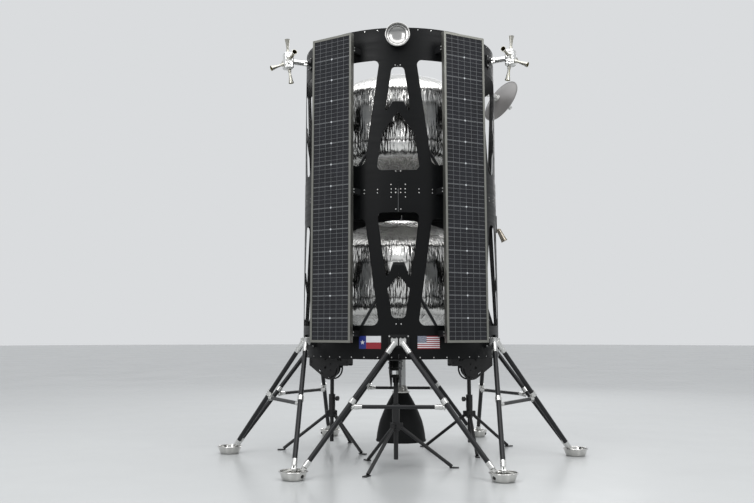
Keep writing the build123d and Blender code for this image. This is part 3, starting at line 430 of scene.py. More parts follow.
def cell_silicon():
    """Crystalline silicon under low-iron glass: nearly black blue, a little different from cell to cell."""
    material, tree, here = new_finish("Silicon cells under glass")
    dark = shade(settings("panels").cells)
    along = add(tree, "ShaderNodeMapping", {"Vector": here, "Scale": (1.0, 1.0, 0.8)})
    return shaded(material, {
        "Base Color": clouded(tree, along, 7.0, 2.0, 0.35, 0.65, dark, shade(dark, 1.6))[0],
        "Roughness": 0.16, "Specular IOR Level": 0.36})


# Settings that a user would change

def colour_setting(label, description, code):
    return bpy.props.FloatVectorProperty(name=label, description=description, size=3, min=0.0, max=1.0,
                                         subtype="COLOR", default=linear(code))


def length_setting(label, description, default):
    return bpy.props.FloatProperty(name=label, description=description, default=default, min=0.0,
                                   unit="LENGTH")


class LanderStageSettings(bpy.types.PropertyGroup):
    floor: colour_setting("Floor", "Colour of the glossy floor", "#c8caca")
    background: colour_setting("Background", "Colour behind the object", "#dadcde")
    lamp_power: bpy.props.FloatProperty(name="Lamp power", description="Power that the soft lamps share out",
                                        default=360.0, min=0.0, unit="POWER")


class LanderShellSettings(bpy.types.PropertyGroup):
    paint: colour_setting("Paint", "Satin black of the rolled sheet", "#0c0d0e")
    screw_radius: length_setting("Screw radius", "Radius of a screw head on the shell", 0.0028)
    screw_pitch: bpy.props.FloatProperty(name="Screw pitch", description="Angle from one screw to the next",
                                         default=radians(7.5), unit="ROTATION", subtype="ANGLE")


class LanderTankSettings(bpy.types.PropertyGroup):
    foil: colour_setting("Foil", "Colour of the aluminised film", "#eeedea")
    fold_depth: length_setting("Fold depth", "Height of the crinkles in the film", 0.0035)
    fold_width: length_setting("Fold width", "Distance across one crinkle", 0.022)


class LanderPanelSettings(bpy.types.PropertyGroup):
    cells: colour_setting("Cells", "Colour of the silicon", "#131419")
    lines: colour_setting("Conductors", "Colour of the printed silver lines", "#6a6c6e")
    frames: colour_setting("Frames", "Anodised aluminium of the panel frames", "#8e8e88")
    pitch: length_setting("Cell pitch", "Distance from one cell to the next", 0.15875)
    line_width: length_setting("Line width", "Width of a printed conductor line", 0.0022)


class LanderLegSettings(bpy.types.PropertyGroup):
    tubes: colour_setting("Tubes", "Black anodised strut tubes", "#17181a")
    fittings: colour_setting("Fittings", "Machined aluminium fittings", "#d9d9d7")
    bowls: colour_setting("Bowls", "Polished stainless steel of the foot bowls", "#d2d1ce")


class LanderEngineSettings(bpy.types.PropertyGroup):
    bell: colour_setting("Bell", "Matte black of the engine bell", "#0c0d0e")
    nozzles: colour_setting("Nozzles", "Steel of the small nozzles", "#b9b7ae")
    bores: colour_setting("Nozzle bores", "Heat tint inside the small nozzles", "#8b8458")
    film: colour_setting("Wrap", "Crumpled film round the thruster valves", "#ececea")
    wrap_depth: length_setting("Wrap depth", "Height of the folds in the wrap", 0.0055)
    wrap_width: length_setting("Wrap width", "Distance across one fold of the wrap", 0.024)


class LanderDishSettings(bpy.types.PropertyGroup):
    back: colour_setting("Dish", "Grey paint of the dish", "#7f7d7c")
    fittings: colour_setting("Fittings", "White paint of its bracket", "#e4e4e2")


class LanderStandSettings(bpy.types.PropertyGroup):
    coating: colour_setting("Coating", "Matte black powder coat of the tripods", "#141415")


GROUPS = {
    "stage": LanderStageSettings,
    "shell": LanderShellSettings,
    "tanks": LanderTankSettings,
    "panels": LanderPanelSettings,
    "legs": LanderLegSettings,
    "engine": LanderEngineSettings,
    "dish": LanderDishSettings,
    "stands": LanderStandSettings,
}


def settings(group):
    """The scene's settings of one group."""
    return getattr(bpy.context.scene, f"lander_{group}")


# Metals and coatings by what they are, each with what that gives the eye

VINYL_COLOURS = {"blue": "#1b2a78", "grey blue": "#5d6377", "red": "#8e1c29", "white": "#dcdcde"}
# Columns: maker, hex colour or the setting that holds it, roughness, the rest
FINISHES = {
    # Milled, with soft and bright reflections
    "Machined aluminium fittings": (
        metal, ("legs", "fittings"), 0.25, dict(grain_scale=420.0, depth=0.04, uneven=0.05)),
    # Bright and smooth, a little uneven
    "Zinc plated steel screws": (metal, "#e2e2e0", 0.28, dict(grain_scale=500.0)),
    # Deep black with a narrow shine along the drawn tube
    "Black anodised tube": (
        coated, ("legs", "tubes"), 0.30,
        dict(grain_scale=380.0, depth=0.10, grain=(1.0, 1.0, 0.2), shine=0.35)),
    # Brushed on, satin and plain
    "Black painted brackets": (coated, "#121314", 0.42, dict(grain_scale=300.0, depth=0.12, shine=0.3)),
    # Moulded, dull and nearly black
    "Black rubber plugs": (coated, "#171615", 0.55, dict(grain_scale=300.0, depth=0.1)),
    # Painted light: matte grey for the light seen through the narrow seam gaps
    "Light seam sealant": (coated, "#6f7172", 0.5, dict(grain_scale=500.0, depth=0.1, lighter=1.2)),
    # Screen printed, with a faint metal sheen under glass
    "Printed silver lines": (
        coated, ("panels", "lines"), 0.30, dict(grain_scale=900.0, depth=0.02, lighter=1.15)),
    # Plastic sheet, plain and bright
    "White backing between cells": (
        coated, "#c9cccf", 0.30, dict(grain_scale=900.0, depth=0.02, lighter=1.05)),
    # Plastic sheet, dark blue grey behind the cells
    "Dark panel backing": (coated, "#1b1c20", 0.38, dict(grain_scale=700.0, depth=0.05, shine=0.3)),
    # Etched and anodised extrusion: soft grey lines along its length
    "Anodised panel frames": (
        metal, ("panels", "frames"), 0.38, dict(grain=(1.0, 1.0, 0.03), depth=0.02, uneven=0.04, stain=0.95)),
    # Open saw cuts, in shadow
    "Dark mitre gaps": (coated, "#35352f", 0.6, dict(grain_scale=400.0, depth=0.1)),
    # Spun and polished, nearly a mirror
    "Polished stainless steel": (
        metal, ("legs", "bowls"), 0.13,
        dict(grain=(1.0, 1.0, 6.0), grain_scale=120.0, depth=0.05, uneven=0.05)),
    # Sprayed, dull, with faint streaks down the bell
    "Matte black bell coating": (
        coated, ("engine", "bell"), 0.50,
        dict(grain_scale=160.0, depth=0.2, grain=(1.0, 1.0, 0.15), shine=0.16)),
    # Brushed round in the lathe
    "Brushed collar steel": (metal, "#c9c8c4", 0.3, dict(grain=(1.0, 1.0, 8.0))),
    # Sprayed, smooth and pale
    "Light grey pipe paint": (coated, "#c2c3c2", 0.4, dict(grain_scale=260.0, depth=0.06, lighter=1.08)),
    # Turned, satin
    "Small nozzle steel": (metal, ("engine", "nozzles"), 0.28, {}),
    # Straw and brown from heat
    "Heat tinted nozzle bore": (metal, ("engine", "bores"), 0.34, {}),
    # Sprayed, smooth and white
    "White painted fittings": (
        coated, ("dish", "fittings"), 0.35, dict(grain_scale=260.0, depth=0.06, lighter=1.05)),
    # Sprayed, even grey
    "Grey dish paint": (coated, ("dish", "back"), 0.38, dict(grain_scale=200.0, depth=0.05, lighter=1.08)),
    # Spun, satin
    "Satin lamp bowl steel": (metal, "#b2b1af", 0.22, dict(depth=0.04)),
    # Turned, warm grey
    "Bronze tinted sensor metal": (metal, "#a8a094", 0.3, {}),
    # Baked powder, matte with a fine orange peel
    "Matte black powder coat": (coated, ("stands", "coating"), 0.48, dict(grain_scale=420.0, depth=0.18)),
    # Blackened steel, dull
    "Black oxide bolts": (metal, "#3a3a3c", 0.35, {}),
    # Printed film, smooth and slightly glossy
    **{f"Printed vinyl, {colour}": (coated, code, 0.35, dict(grain_scale=600.0, depth=0.03, lighter=1.06))
       for colour, code in VINYL_COLOURS.items()},
}


def finish(name):
    """A metal or coating by name, made the first time it is asked for."""
    maker, colour, roughness, rest = FINISHES[name]
    if isinstance(colour, tuple):
        group, label = colour
        colour = getattr(settings(group), label)
    return bpy.data.materials.get(name) or maker(name, colour, roughness, **rest)


# Screws, bolts and other heads; a spot is a point and the direction that it faces

WASHER_SHARE = 1.45
WASHER_SIDES = 14
# Columns: radius, height and sides of a head
HEAD_SIZES = {
    "bracket_bolts": (0.0035, 0.0026, 6),
    "mount_screws": (0.0036, 0.003, 12),
    "clamp_nuts": (0.0042, 0.004, 6),
    "foot_pin_nuts": (0.0062, 0.0045, 6),
    "bowl_plugs": (0.0088, 0.004, 20),
    "bowl_rivets": (0.003, 0.0018, 12),
    "engine_bolts": (0.0026, 0.0026, 6),
    "thruster_pad_screws": (0.0036, 0.003, 12),
    "thruster_pin_nuts": (0.0072, 0.005, 6),
    "dish_pad_screws": (0.0036, 0.003, 12),
    "swivel_pin_nuts": (0.0062, 0.004, 6),
    "tilt_pin_nuts": (0.0054, 0.0035, 6),
    "dish_flange_screws": (0.0026, 0.0022, 12),
    "lamp_screws": (0.0022, 0.0016, 12),
    "sensor_screws": (0.0028, 0.0022, 12),
    "tripod_bolts": (0.0048, 0.004, 6),
}


def head_tree():
    """Tree that sets a washer, a round head and a low dome on every point, along its own direction."""
    tree, given = new_shape_tree("Heads on points", {
        "Head Radius": "Float", "Head Height": "Float", "Sides": "Int", "Finish": "Material"})
    radius, height, sides = given["Head Radius"], given["Head Height"], given["Sides"]
    parts = []
    # Columns: shape, sides, then shares of the radius or of the height: lift, radii and depth
    for kind, around, lift, shares in (
            ("Cylinder", WASHER_SIDES, 0.0, {"Radius": WASHER_SHARE, "Depth": 0.3}),
            ("Cylinder", sides, 0.6, {"Radius": 1.0, "Depth": 1.0}),
            ("Cone", sides, 1.1, {"Radius Top": 0.55, "Radius Bottom": 1.0, "Depth": 0.35})):
        sizes = {label: add(tree, MATH, (height if label == "Depth" else radius, share), operation="MULTIPLY")
                 for label, share in shares.items()}
        part = add(tree, f"GeometryNodeMesh{kind}", {"Vertices": around, **sizes})
        parts.append(lifted(tree, part, height, lift))
    facing = add(tree, "GeometryNodeInputNamedAttribute", {"Name": "facing"}, data_type="FLOAT_VECTOR")
    copies = add(tree, "GeometryNodeInstanceOnPoints", {
        "Points": given[0], "Instance": add(tree, "GeometryNodeJoinGeometry", {0: parts}),
        "Rotation": add(tree, "FunctionNodeAlignRotationToVector", {"Vector": facing}, axis="Z")})
    add(tree, "NodeGroupOutput", (covered(tree, copies, given["Finish"]),))
    return tree


def heads(name, spots, body="lander", coat="Zinc plated steel screws", size=None):
    """One mesh of all the heads with a name."""
    tree = bpy.data.node_groups.get("Heads on points") or head_tree()
    mesh = bpy.data.meshes.new(name)
    mesh.from_pydata([tuple(point) for point, facing in spots], [], [])
    attribute = mesh.attributes.new("facing", "FLOAT_VECTOR", "POINT")
    attribute.data.foreach_set("vector", [c for point, facing in spots for c in facing])
    radius, height, sides = size or HEAD_SIZES[name]
    shape = grown(name, mesh, tree, {
        "Head Radius": radius, "Head Height": height, "Sides": sides, "Finish": finish(coat)})
    return piece(name, shape, body)


def spot(angle, radius, height, side=0.0):
    """Spot that faces away from the body axis."""
    return place(angle, radius, height, side), outward(angle)


def pad_corners(angle, radius, height, pad):
    """Spots at the corners of a pad that faces outwards, from its half width and half height."""
    return [spot(angle, radius, height + up * pad[1], side * pad[0]) for side in (-1, 1) for up in (-1, 1)]


def both_ends(middle, reach):
    """Spots at both ends of a pin, from its middle and the way from there to one end."""
    middle, reach = Vector(middle), Vector(reach)
    return [(middle + reach * way, (reach * way).normalized()) for way in (-1, 1)]


def ring_spots(count, radius, height, way=1.0, start=0.0):
    """Spots round the Z axis that face up or down."""
    return [(place(start + step * FULL_TURN / count, radius, height), UP * way) for step in range(count)]


def carried(matrix, spots):
    """Spots taken through a matrix."""
    rotation = matrix.to_3x3()
    return [(matrix @ Vector(point), rotation @ Vector(facing)) for point, facing in spots]


# The stage

CAMERA_PLACE = (0.1191, -6.7143, 0.9448)
CAMERA_RISE = 7.679
CAMERA_HEADING = 2.619
CAMERA_FOCAL_MM = 39.92
SENSOR_MM = 36.0
CAMERA_SHIFT_Y = -0.0425
CAMERA_REACH = 200.0
FLOOR_RADIUS = 60.0
FLOOR_SIDES = 96
ROOM_COLOUR = "#eef1f4"
ROOM_LIGHT = 0.60
# Columns: name, place, target, width, height, share of the power
LAMPS = [
    ("Overhead", (0.0, -1.0, 7.0), (0.0, 0.0, 1.6), 7.0, 7.0, 0.86),
    ("Front left", (-4.0, -6.5, 5.5), (0.0, 0.0, 1.6), 3.0, 3.0, 0.42),
    ("Front right", (4.5, -5.0, 6.0), (0.0, 0.0, 1.6), 2.5, 2.5, 0.30),
    ("Rear", (1.5, 7.0, 4.5), (0.0, 0.0, 1.8), 4.0, 3.0, 0.35),
]


def sealed_floor(name, colour):
    """Sealed concrete floor: pale, even and softly glossy."""
    material, tree, here = new_finish(name)
    tone, cloud = clouded(tree, here, 0.8, 3.0, 0.4, 0.6, shade(colour, 0.97), shade(colour))
    return shaded(material, {
        "Base Color": tone, "Roughness": add(tree, MAP_RANGE, (cloud, 0.3, 0.7, 0.20, 0.27)), "IOR": 1.45})


class LANDER_OT_stage(bpy.types.Operator):
    """Makes the floor, the background, the soft lamps and the camera"""
    bl_idname = "lander.stage"
    bl_label = "Stage"

    def execute(self, context):
        values = settings("stage")
        link = context.scene.collection.objects.link
        disc = bpy.data.meshes.new("floor")
        rim = arc((0.0, 0.0), FLOOR_RADIUS, 0, FULL_TURN, FLOOR_SIDES)[:-1]
        disc.from_pydata([(x, y, 0.0) for x, y in rim], [], [list(range(FLOOR_SIDES))])
        disc.materials.append(sealed_floor("Sealed pale floor", values.floor))
        ground = bpy.data.objects.new("floor", disc)
        link(ground)

        world = bpy.data.worlds.new("Pale room")
        world.use_nodes = True
        tree = world.node_tree
        tree.nodes.clear()
        seen = add(tree, "ShaderNodeBackground", {"Color": (*values.background, 1.0), "Strength": 1.0})
        room = (*linear(ROOM_COLOUR), 1.0)
        lit = add(tree, "ShaderNodeBackground", {"Color": room, "Strength": ROOM_LIGHT})
        path = add(tree, "ShaderNodeLightPath").outputs
        direct = add(tree, MATH, (path["Is Camera Ray"], path["Is Glossy Ray"]), operation="MAXIMUM")
        direct = add(tree, MATH, (direct, path["Is Transmission Ray"]), operation="MAXIMUM")
        mix = add(tree, "ShaderNodeMixShader", (direct, lit, seen))
        add(tree, "ShaderNodeOutputWorld", {"Surface": mix})
        context.scene.world = world

        for name, origin, target, width, height, share in LAMPS:
            lamp = bpy.data.lights.new(name, "AREA")
            lamp.shape = "RECTANGLE"
            lamp.size = width
            lamp.size_y = height
            lamp.energy = values.lamp_power * share
            thing = bpy.data.objects.new(name, lamp)
            thing.matrix_world = aimed(origin, Vector(origin) - Vector(target))
            link(thing)

        camera = bpy.data.cameras.new("Camera")
        camera.sensor_width = SENSOR_MM
        camera.lens = CAMERA_FOCAL_MM
        camera.shift_y = CAMERA_SHIFT_Y
        camera.clip_end = CAMERA_REACH
        eye = bpy.data.objects.new("Camera", camera)
        eye.location = CAMERA_PLACE
        eye.rotation_euler = (radians(90 + CAMERA_RISE), 0.0, radians(CAMERA_HEADING))
        link(eye)
        context.scene.camera = eye
        context.scene.view_settings.view_transform = "Standard"
        return {"FINISHED"}


# The shell

SEAM_ANGLES = (0.0, 90.0, 180.0, 270.0)
SCREW_ROWS = (SHELL_BOTTOM + 0.014, 1.943, 1.969, SHELL_TOP - 0.015)
# Distance of a pair of screws from a seam, and their height
SEAM_SCREWS = [(0.018, height) for height in (1.002, 1.822, 1.943, 1.969, 2.100, 2.893)]
SEAM_SCREWS += [(0.052, height) for height in (1.910, 2.002)]
SCREW_SHARE = 0.55
# Heights, half width and radii of a pale strip in each seam: painted light, for light seen through the gap
# between the sheets
SEAM_LIGHT = (1.803, 1.934)
SEAM_LIGHT_HALF_WIDTH = 0.0009
SEAM_LIGHT_RADII = (SHELL_RADIUS - 0.001, SHELL_RADIUS + 0.0002)

# The flags
FLAG_HEIGHTS = (0.828, 0.918)
FLAG_TALL = FLAG_HEIGHTS[1] - FLAG_HEIGHTS[0]
FLAG_SPAN = degrees(0.164 / SHELL_RADIUS)
FILM_THICKNESS = 0.0003
STRIPE_COUNT = 13
CANTON_STRIPES = 7
CANTON_SHARE = 0.40
STAR_ROWS = 9
STAR_INNER_SHARE = 0.382
BIG_STAR, SMALL_STAR = 0.019, 0.0028


def star(angle, height, radius):
    """Five-pointed star on the shell's surface, one point up."""
    outline = [(0.0, 0.0)]
    for step in range(10):
        reach = radius if step % 2 == 0 else radius * STAR_INNER_SHARE
        outline.append((reach * sin(radians(36 * step)), reach * cos(radians(36 * step))))
    radii = (SHELL_RADIUS + FILM_THICKNESS, SHELL_RADIUS + 2 * FILM_THICKNESS)
    vertices = [tuple(place(angle + degrees(x / SHELL_RADIUS), layer, height + z))
                for layer in radii for x, z in outline]
    faces = []
    for step in range(10):
        after = (step + 1) % 10
        faces += [[0, 1 + after, 1 + step], [11, 12 + step, 12 + after],
                  [1 + step, 1 + after, 12 + after, 12 + step]]
    return vertices, faces


def decal(angle, shares, heights):
    """Piece of film on the shell, from shares of a flag's width and of its height."""
    return curved_plate([angle + (share - 0.5) * FLAG_SPAN for share in shares],
                        [FLAG_HEIGHTS[0] + FLAG_TALL * share for share in heights],
                        (SHELL_RADIUS - FILM_THICKNESS, SHELL_RADIUS + FILM_THICKNESS), 8)


def star_flag(angle):
    """Parts of the flag with one star, by colour."""
    third = 1 / 3
    return {"blue": [decal(angle, (0.0, third), (0.0, 1.0))], "red": [decal(angle, (third, 1.0), (0.0, 0.5))],
            "white": [decal(angle, (third, 1.0), (0.5, 1.0)),
                      star(angle - FLAG_SPAN * third, sum(FLAG_HEIGHTS) / 2, BIG_STAR)]}


def striped_flag(angle):
    """Parts of the flag with stripes and a canton of small stars, by colour."""
    low_share = 1 - CANTON_STRIPES / STRIPE_COUNT
    parts = {"grey blue": [decal(angle, (0.0, CANTON_SHARE), (low_share, 1.0))], "red": [], "white": []}
    for number in range(STRIPE_COUNT):
        start = CANTON_SHARE if number >= STRIPE_COUNT - CANTON_STRIPES else 0.0
        levels = (number / STRIPE_COUNT, (number + 1) / STRIPE_COUNT)
        parts["white" if number % 2 else "red"].append(decal(angle, (start, 1.0), levels))
    for row in range(STAR_ROWS):
        height = FLAG_HEIGHTS[1] - FLAG_TALL * (1 - low_share) * (row + 0.7) / (STAR_ROWS + 0.4)
        for column in range(6 - row % 2):
            across = (column + 0.5 + 0.5 * (row % 2)) / 6 * CANTON_SHARE
            parts["white"].append(star(angle + (across - 0.5) * FLAG_SPAN, height, SMALL_STAR))
    return parts


# Columns: name, maker, angle of the middle
FLAGS = [("star_flag", star_flag, -15.5), ("striped_flag", striped_flag, 16.0)]


class LANDER_OT_shell(bpy.types.Operator):
    """Paints the lattice shell and sets its screws, the two flags and pale strips of painted light in the seam
    gaps
    """
    bl_idname = "lander.shell"
    bl_label = "Shell"

    def execute(self, context):
        values = settings("shell")
        dress((*SHELL_NODES, "seam_splices"), sheet_paint())
        pitch = degrees(values.screw_pitch)
        spots = [spot((number + 0.5) * pitch, SHELL_RADIUS, height)
                 for height in SCREW_ROWS for number in range(round(FULL_TURN / pitch))]
        spots += [spot(seam + way * degrees(side / SHELL_RADIUS), SHELL_RADIUS, height)
                  for seam in SEAM_ANGLES for side, height in SEAM_SCREWS for way in (-1, 1)]
        heads("shell_screws", spots, size=(values.screw_radius, values.screw_radius * SCREW_SHARE, 12))

        # Pale strips in the seams: painted light, for light seen through the gaps between the sheets
        half = degrees(SEAM_LIGHT_HALF_WIDTH / SHELL_RADIUS)
        light_strips = [curved_plate((seam - half, seam + half), SEAM_LIGHT, SEAM_LIGHT_RADII) for seam in SEAM_ANGLES]
        solid("seam_beads", joined(light_strips), finish("Light seam sealant"))
        for name, maker, angle in FLAGS:
            for colour, parts in maker(angle).items():
                vinyl = finish(f"Printed vinyl, {colour}")
                solid(f"{name}_{colour.replace(' ', '_')}", joined(parts), vinyl)
        return {"FINISHED"}


# The tanks

TANK_RADIUS = 0.640
TANK_DOME = 0.245
TANK_KNUCKLE = 0.152
TANK_ROWS = 26
TANK_SEGMENTS = 640
# Columns: node, height of the lower and the upper shoulder, how much lower the film turns inward, seed
TANKS = [("upper_tank", 2.366, 2.763, 0.070, 3.0), ("lower_tank", 1.205, 1.578, 0.095, 8.0)]
# Grey values along a tank from its lower pole at 0 to its upper one at 1, multiplied into the film's colour as
# painted light. The thin dark dips near the shoulders are painted shade in the creases. The other darker
# stretches are a painted reflection of the dark shell round the tanks
PAINTED_SHADE_BANDS = {
    "upper_tank": [(0.0, 1.0), (0.262, 1.0), (0.277, 0.12), (0.290, 0.75), (0.31, 1.0), (0.46, 1.0),
                   (0.475, 0.84), (0.57, 0.74), (0.607, 0.42), (0.628, 1.0), (1.0, 1.0)],
    "lower_tank": [(0.0, 0.92), (0.225, 0.95), (0.232, 1.0), (0.258, 0.9), (0.272, 0.14), (0.287, 0.80),
                   (0.31, 1.0), (0.50, 1.0), (0.555, 0.90), (0.575, 0.38), (0.595, 1.0), (0.65, 1.0),
                   (0.71, 0.90), (1.0, 0.85)],
}
# Depth of the facets, and roughness, along a tank in the same way
FACETS = [(0.0, 1.3), (0.36, 1.1), (0.45, 0.30), (0.575, 0.22), (0.625, 1.1), (0.76, 1.0), (1.0, 0.9)]
BLURS = [(0.0, 0.20), (0.24, 0.19), (0.31, 0.16), (0.46, 0.12), (0.54, 0.12), (0.60, 0.18), (1.0, 0.18)]

# Strength of the folds on the barrel, over the upper shoulder and under the lower one
BARREL_FOLDS, UPPER_FOLDS, LOWER_FOLDS = 0.06, 1.7, 1.6
FOLD_RIDGE = 0.22
BROAD_FOLDS = 0.2
CREASE_WANDER = 0.024
CREASE_HALF_WIDTH = 0.011
# Shares of the fold depth
CREASE_DEPTH = 1.1
SHOULDER_LEAN = 4.0
DOME_RISE = 6.5


def tank_crown(dome):
    """Radius of the crown of a dome of this height, and the angle from the pole where its knuckle begins."""
    middle = TANK_RADIUS - TANK_KNUCKLE
    crown = (middle ** 2 + dome ** 2 - TANK_KNUCKLE ** 2) / (2 * (dome - TANK_KNUCKLE))
    return crown, degrees(asin(middle / (crown - TANK_KNUCKLE)))


def tank_profile(low, high, drop):
    """Outline of a tank from its lower pole to its upper one, whose upper shoulder is lowered by a drop."""
    middle = TANK_RADIUS - TANK_KNUCKLE
    shoulder = high - drop
    crown, join = tank_crown(TANK_DOME)
    points = arc((0.0, low - TANK_DOME + crown), crown, -90, join - 90, 34)
    points += arc((middle, low), TANK_KNUCKLE, join - 90, 0, 14)[1:]
    points += [(TANK_RADIUS, low + (shoulder - low) * row / TANK_ROWS) for row in range(1, TANK_ROWS)]
    crown, join = tank_crown(TANK_DOME + drop)
    points += arc((middle, shoulder), TANK_KNUCKLE, 0, 90 - join, 16)
    points += arc((0.0, high + TANK_DOME - crown), crown, 90 - join, 90, 34)[1:]
    return [(radius if radius > 1e-6 else 0.0, height) for radius, height in points]


def crinkle_tree():
    """Tree that pulls a skin into folds along its outline, deep at the shoulders, shallow on the barrel."""
    tree, given = new_shape_tree("Crinkled film", {
        "Fold Depth": "Float", "Fold Width": "Float", "Low Shoulder": "Float", "High Shoulder": "Float",
        "Radius": "Float", "Seed": "Float", "Finish": "Material"})
    low, high = given["Low Shoulder"], given["High Shoulder"]
    eased = {"interpolation_type": "SMOOTHSTEP"}
    middle = add(tree, MATH, (low, high), operation="ADD")
    middle = add(tree, MATH, (middle, 0.5), operation="MULTIPLY")
    along, rise = wrapped(tree, add(tree, "GeometryNodeInputPosition"), middle, given["Radius"])
    rate = add(tree, MATH, (1.0, given["Fold Width"]), operation="DIVIDE")
    broad_rate = add(tree, MATH, (rate, BROAD_FOLDS), operation="MULTIPLY")
    skin = {"Vector": along, "W": given["Seed"], "Roughness": 0.55}
    folds = add(tree, NOISE, {**skin, "Scale": rate, "Detail": 2.0, "Distortion": 0.35},
                noise_dimensions="4D")
    broad = add(tree, NOISE, {**skin, "Scale": broad_rate, "Detail": 1.0, "Distortion": 0.0},
                noise_dimensions="4D")

    # Distances over the upper shoulder and under the lower one; the folds grow and fade with them
    height = add(tree, MATH, (middle, rise), operation="ADD")
    over = add(tree, MATH, (height, high), operation="SUBTRACT")
    under = add(tree, MATH, (low, height), operation="SUBTRACT")
    strength = add(tree, MATH, (
        add(tree, MAP_RANGE, (over, -0.03, 0.02, BARREL_FOLDS, UPPER_FOLDS), **eased),
        add(tree, MAP_RANGE, (under, -0.17, -0.04, 0.0, LOWER_FOLDS), **eased)), operation="ADD")
    swing = add(tree, MATH, (folds, 0.5), operation="SUBTRACT")
    ridged = add(tree, MATH, (swing,), operation="ABSOLUTE")
    ridged = add(tree, MATH, (FOLD_RIDGE, ridged), operation="SUBTRACT")

    # A crease at the lower shoulder, and a lean inward at the upper one, from which the dome rises again
    wander = add(tree, MATH, (swing, CREASE_WANDER), operation="MULTIPLY")
    from_crease = add(tree, MATH, (under, wander), operation="ADD")
    from_crease = add(tree, MATH, (from_crease,), operation="ABSOLUTE")
    crease = add(tree, MAP_RANGE, (from_crease, 0.0, CREASE_HALF_WIDTH, 1.0, 0.0), **eased)
    edge = add(tree, MATH, (over, wander), operation="ADD")
    lean = add(tree, MATH, (
        add(tree, MAP_RANGE, (edge, -0.09, 0.01, 0.0, SHOULDER_LEAN), **eased),
        add(tree, MAP_RANGE, (over, 0.03, 0.17, 0.0, DOME_RISE), **eased)), operation="SUBTRACT")
    inward = add(tree, MATH, (crease, CREASE_DEPTH, lean), operation="MULTIPLY_ADD")

    offset = add(tree, MATH, (broad, 0.5), operation="SUBTRACT")
    offset = add(tree, MATH, (ridged, strength, offset), operation="MULTIPLY_ADD")
    offset = add(tree, MATH, (offset, inward), operation="SUBTRACT")
    offset = add(tree, MATH, (offset, given["Fold Depth"]), operation="MULTIPLY")
    push = add(tree, VECTOR_MATH, (add(tree, "GeometryNodeInputNormal"), offset), operation="SCALE")
    bent = add(tree, "GeometryNodeSetPosition", {"Geometry": given[0], "Offset": push})
    smooth = add(tree, "GeometryNodeSetShadeSmooth", (bent,))
    add(tree, "NodeGroupOutput", (covered(tree, smooth, given["Finish"]),))
    return tree


class LANDER_OT_tanks(bpy.types.Operator):
    """Wraps the two tanks in crinkled film and paints their struts"""
    bl_idname = "lander.tanks"
    bl_label = "Tanks"

    def execute(self, context):
        values = settings("tanks")
        tree = crinkle_tree()
        for node, low, high, drop, seed in TANKS:
            name = f"Aluminised film, {node.replace('_', ' ')}"
            film = tank_film(name, values.foil, low, high, PAINTED_SHADE_BANDS[node])
            start = mesh_of(node, revolve(tank_profile(low, high, drop), TANK_SEGMENTS), film)
            shape = grown(f"{node}_film", start, tree, {
                "Fold Depth": values.fold_depth, "Fold Width": values.fold_width, "Low Shoulder": low,
                "High Shoulder": high - drop, "Radius": TANK_RADIUS, "Seed": seed, "Finish": film})
            piece(f"{node}_film", shape, stands_for=(node,))
        dress(("tank_struts",), finish("Black anodised tube"))
        return {"FINISHED"}


# Solar panels

PANEL_CENTRE_HEIGHT = (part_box("panel_cells_front_right")[0].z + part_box("panel_cells_front_right")[1].z) / 2
PANEL_FACE = 0.899
PANEL_SHIFT = 0.047
LIP = 0.0025
FRAME_LIP = 0.017
# Columns: node ending, angle, sideways shift
PANELS = [
    ("front_right", 30.0, PANEL_SHIFT),
    ("rear_right", 150.0, -PANEL_SHIFT),
    ("rear_left", 210.0, PANEL_SHIFT),
    ("front_left", -30.0, -PANEL_SHIFT),
]
CELL_COLUMNS = 2
CELL_ROWS = 14
STRIPS_ACROSS = 3
STRIPS_DOWN = 5
CELL_GAP = 0.003
CELL_THICKNESS = 0.0012
CELL_CUT = 0.010
CELL_SINK = 0.0004
DIAMOND_SIZE = 0.0085
LINE_RELIEF = 0.0003
# Width and distance of the two lines at the border of a row of cells, in line widths
BORDER_SHARE = 0.9
BORDER_STEP = 2.6
SHEET_MARGIN = 0.027
SHEET_THICKNESS = 0.0016
SHEET_BEVEL = 0.0004
BACKING_SINK = 0.0025
BACKSHEET_SINK = 0.0041
MITRE_CUT = (0.0005, FRAME_LIP * 1.38, 0.0003)
BRACKET_HEIGHTS = (0.935, 1.955, 3.010)
BRACKET_BOLT_RADIUS = 0.845
BRACKET_BOLT_SPREAD = 0.011
BRACKET_BOLT_SINK = 0.007


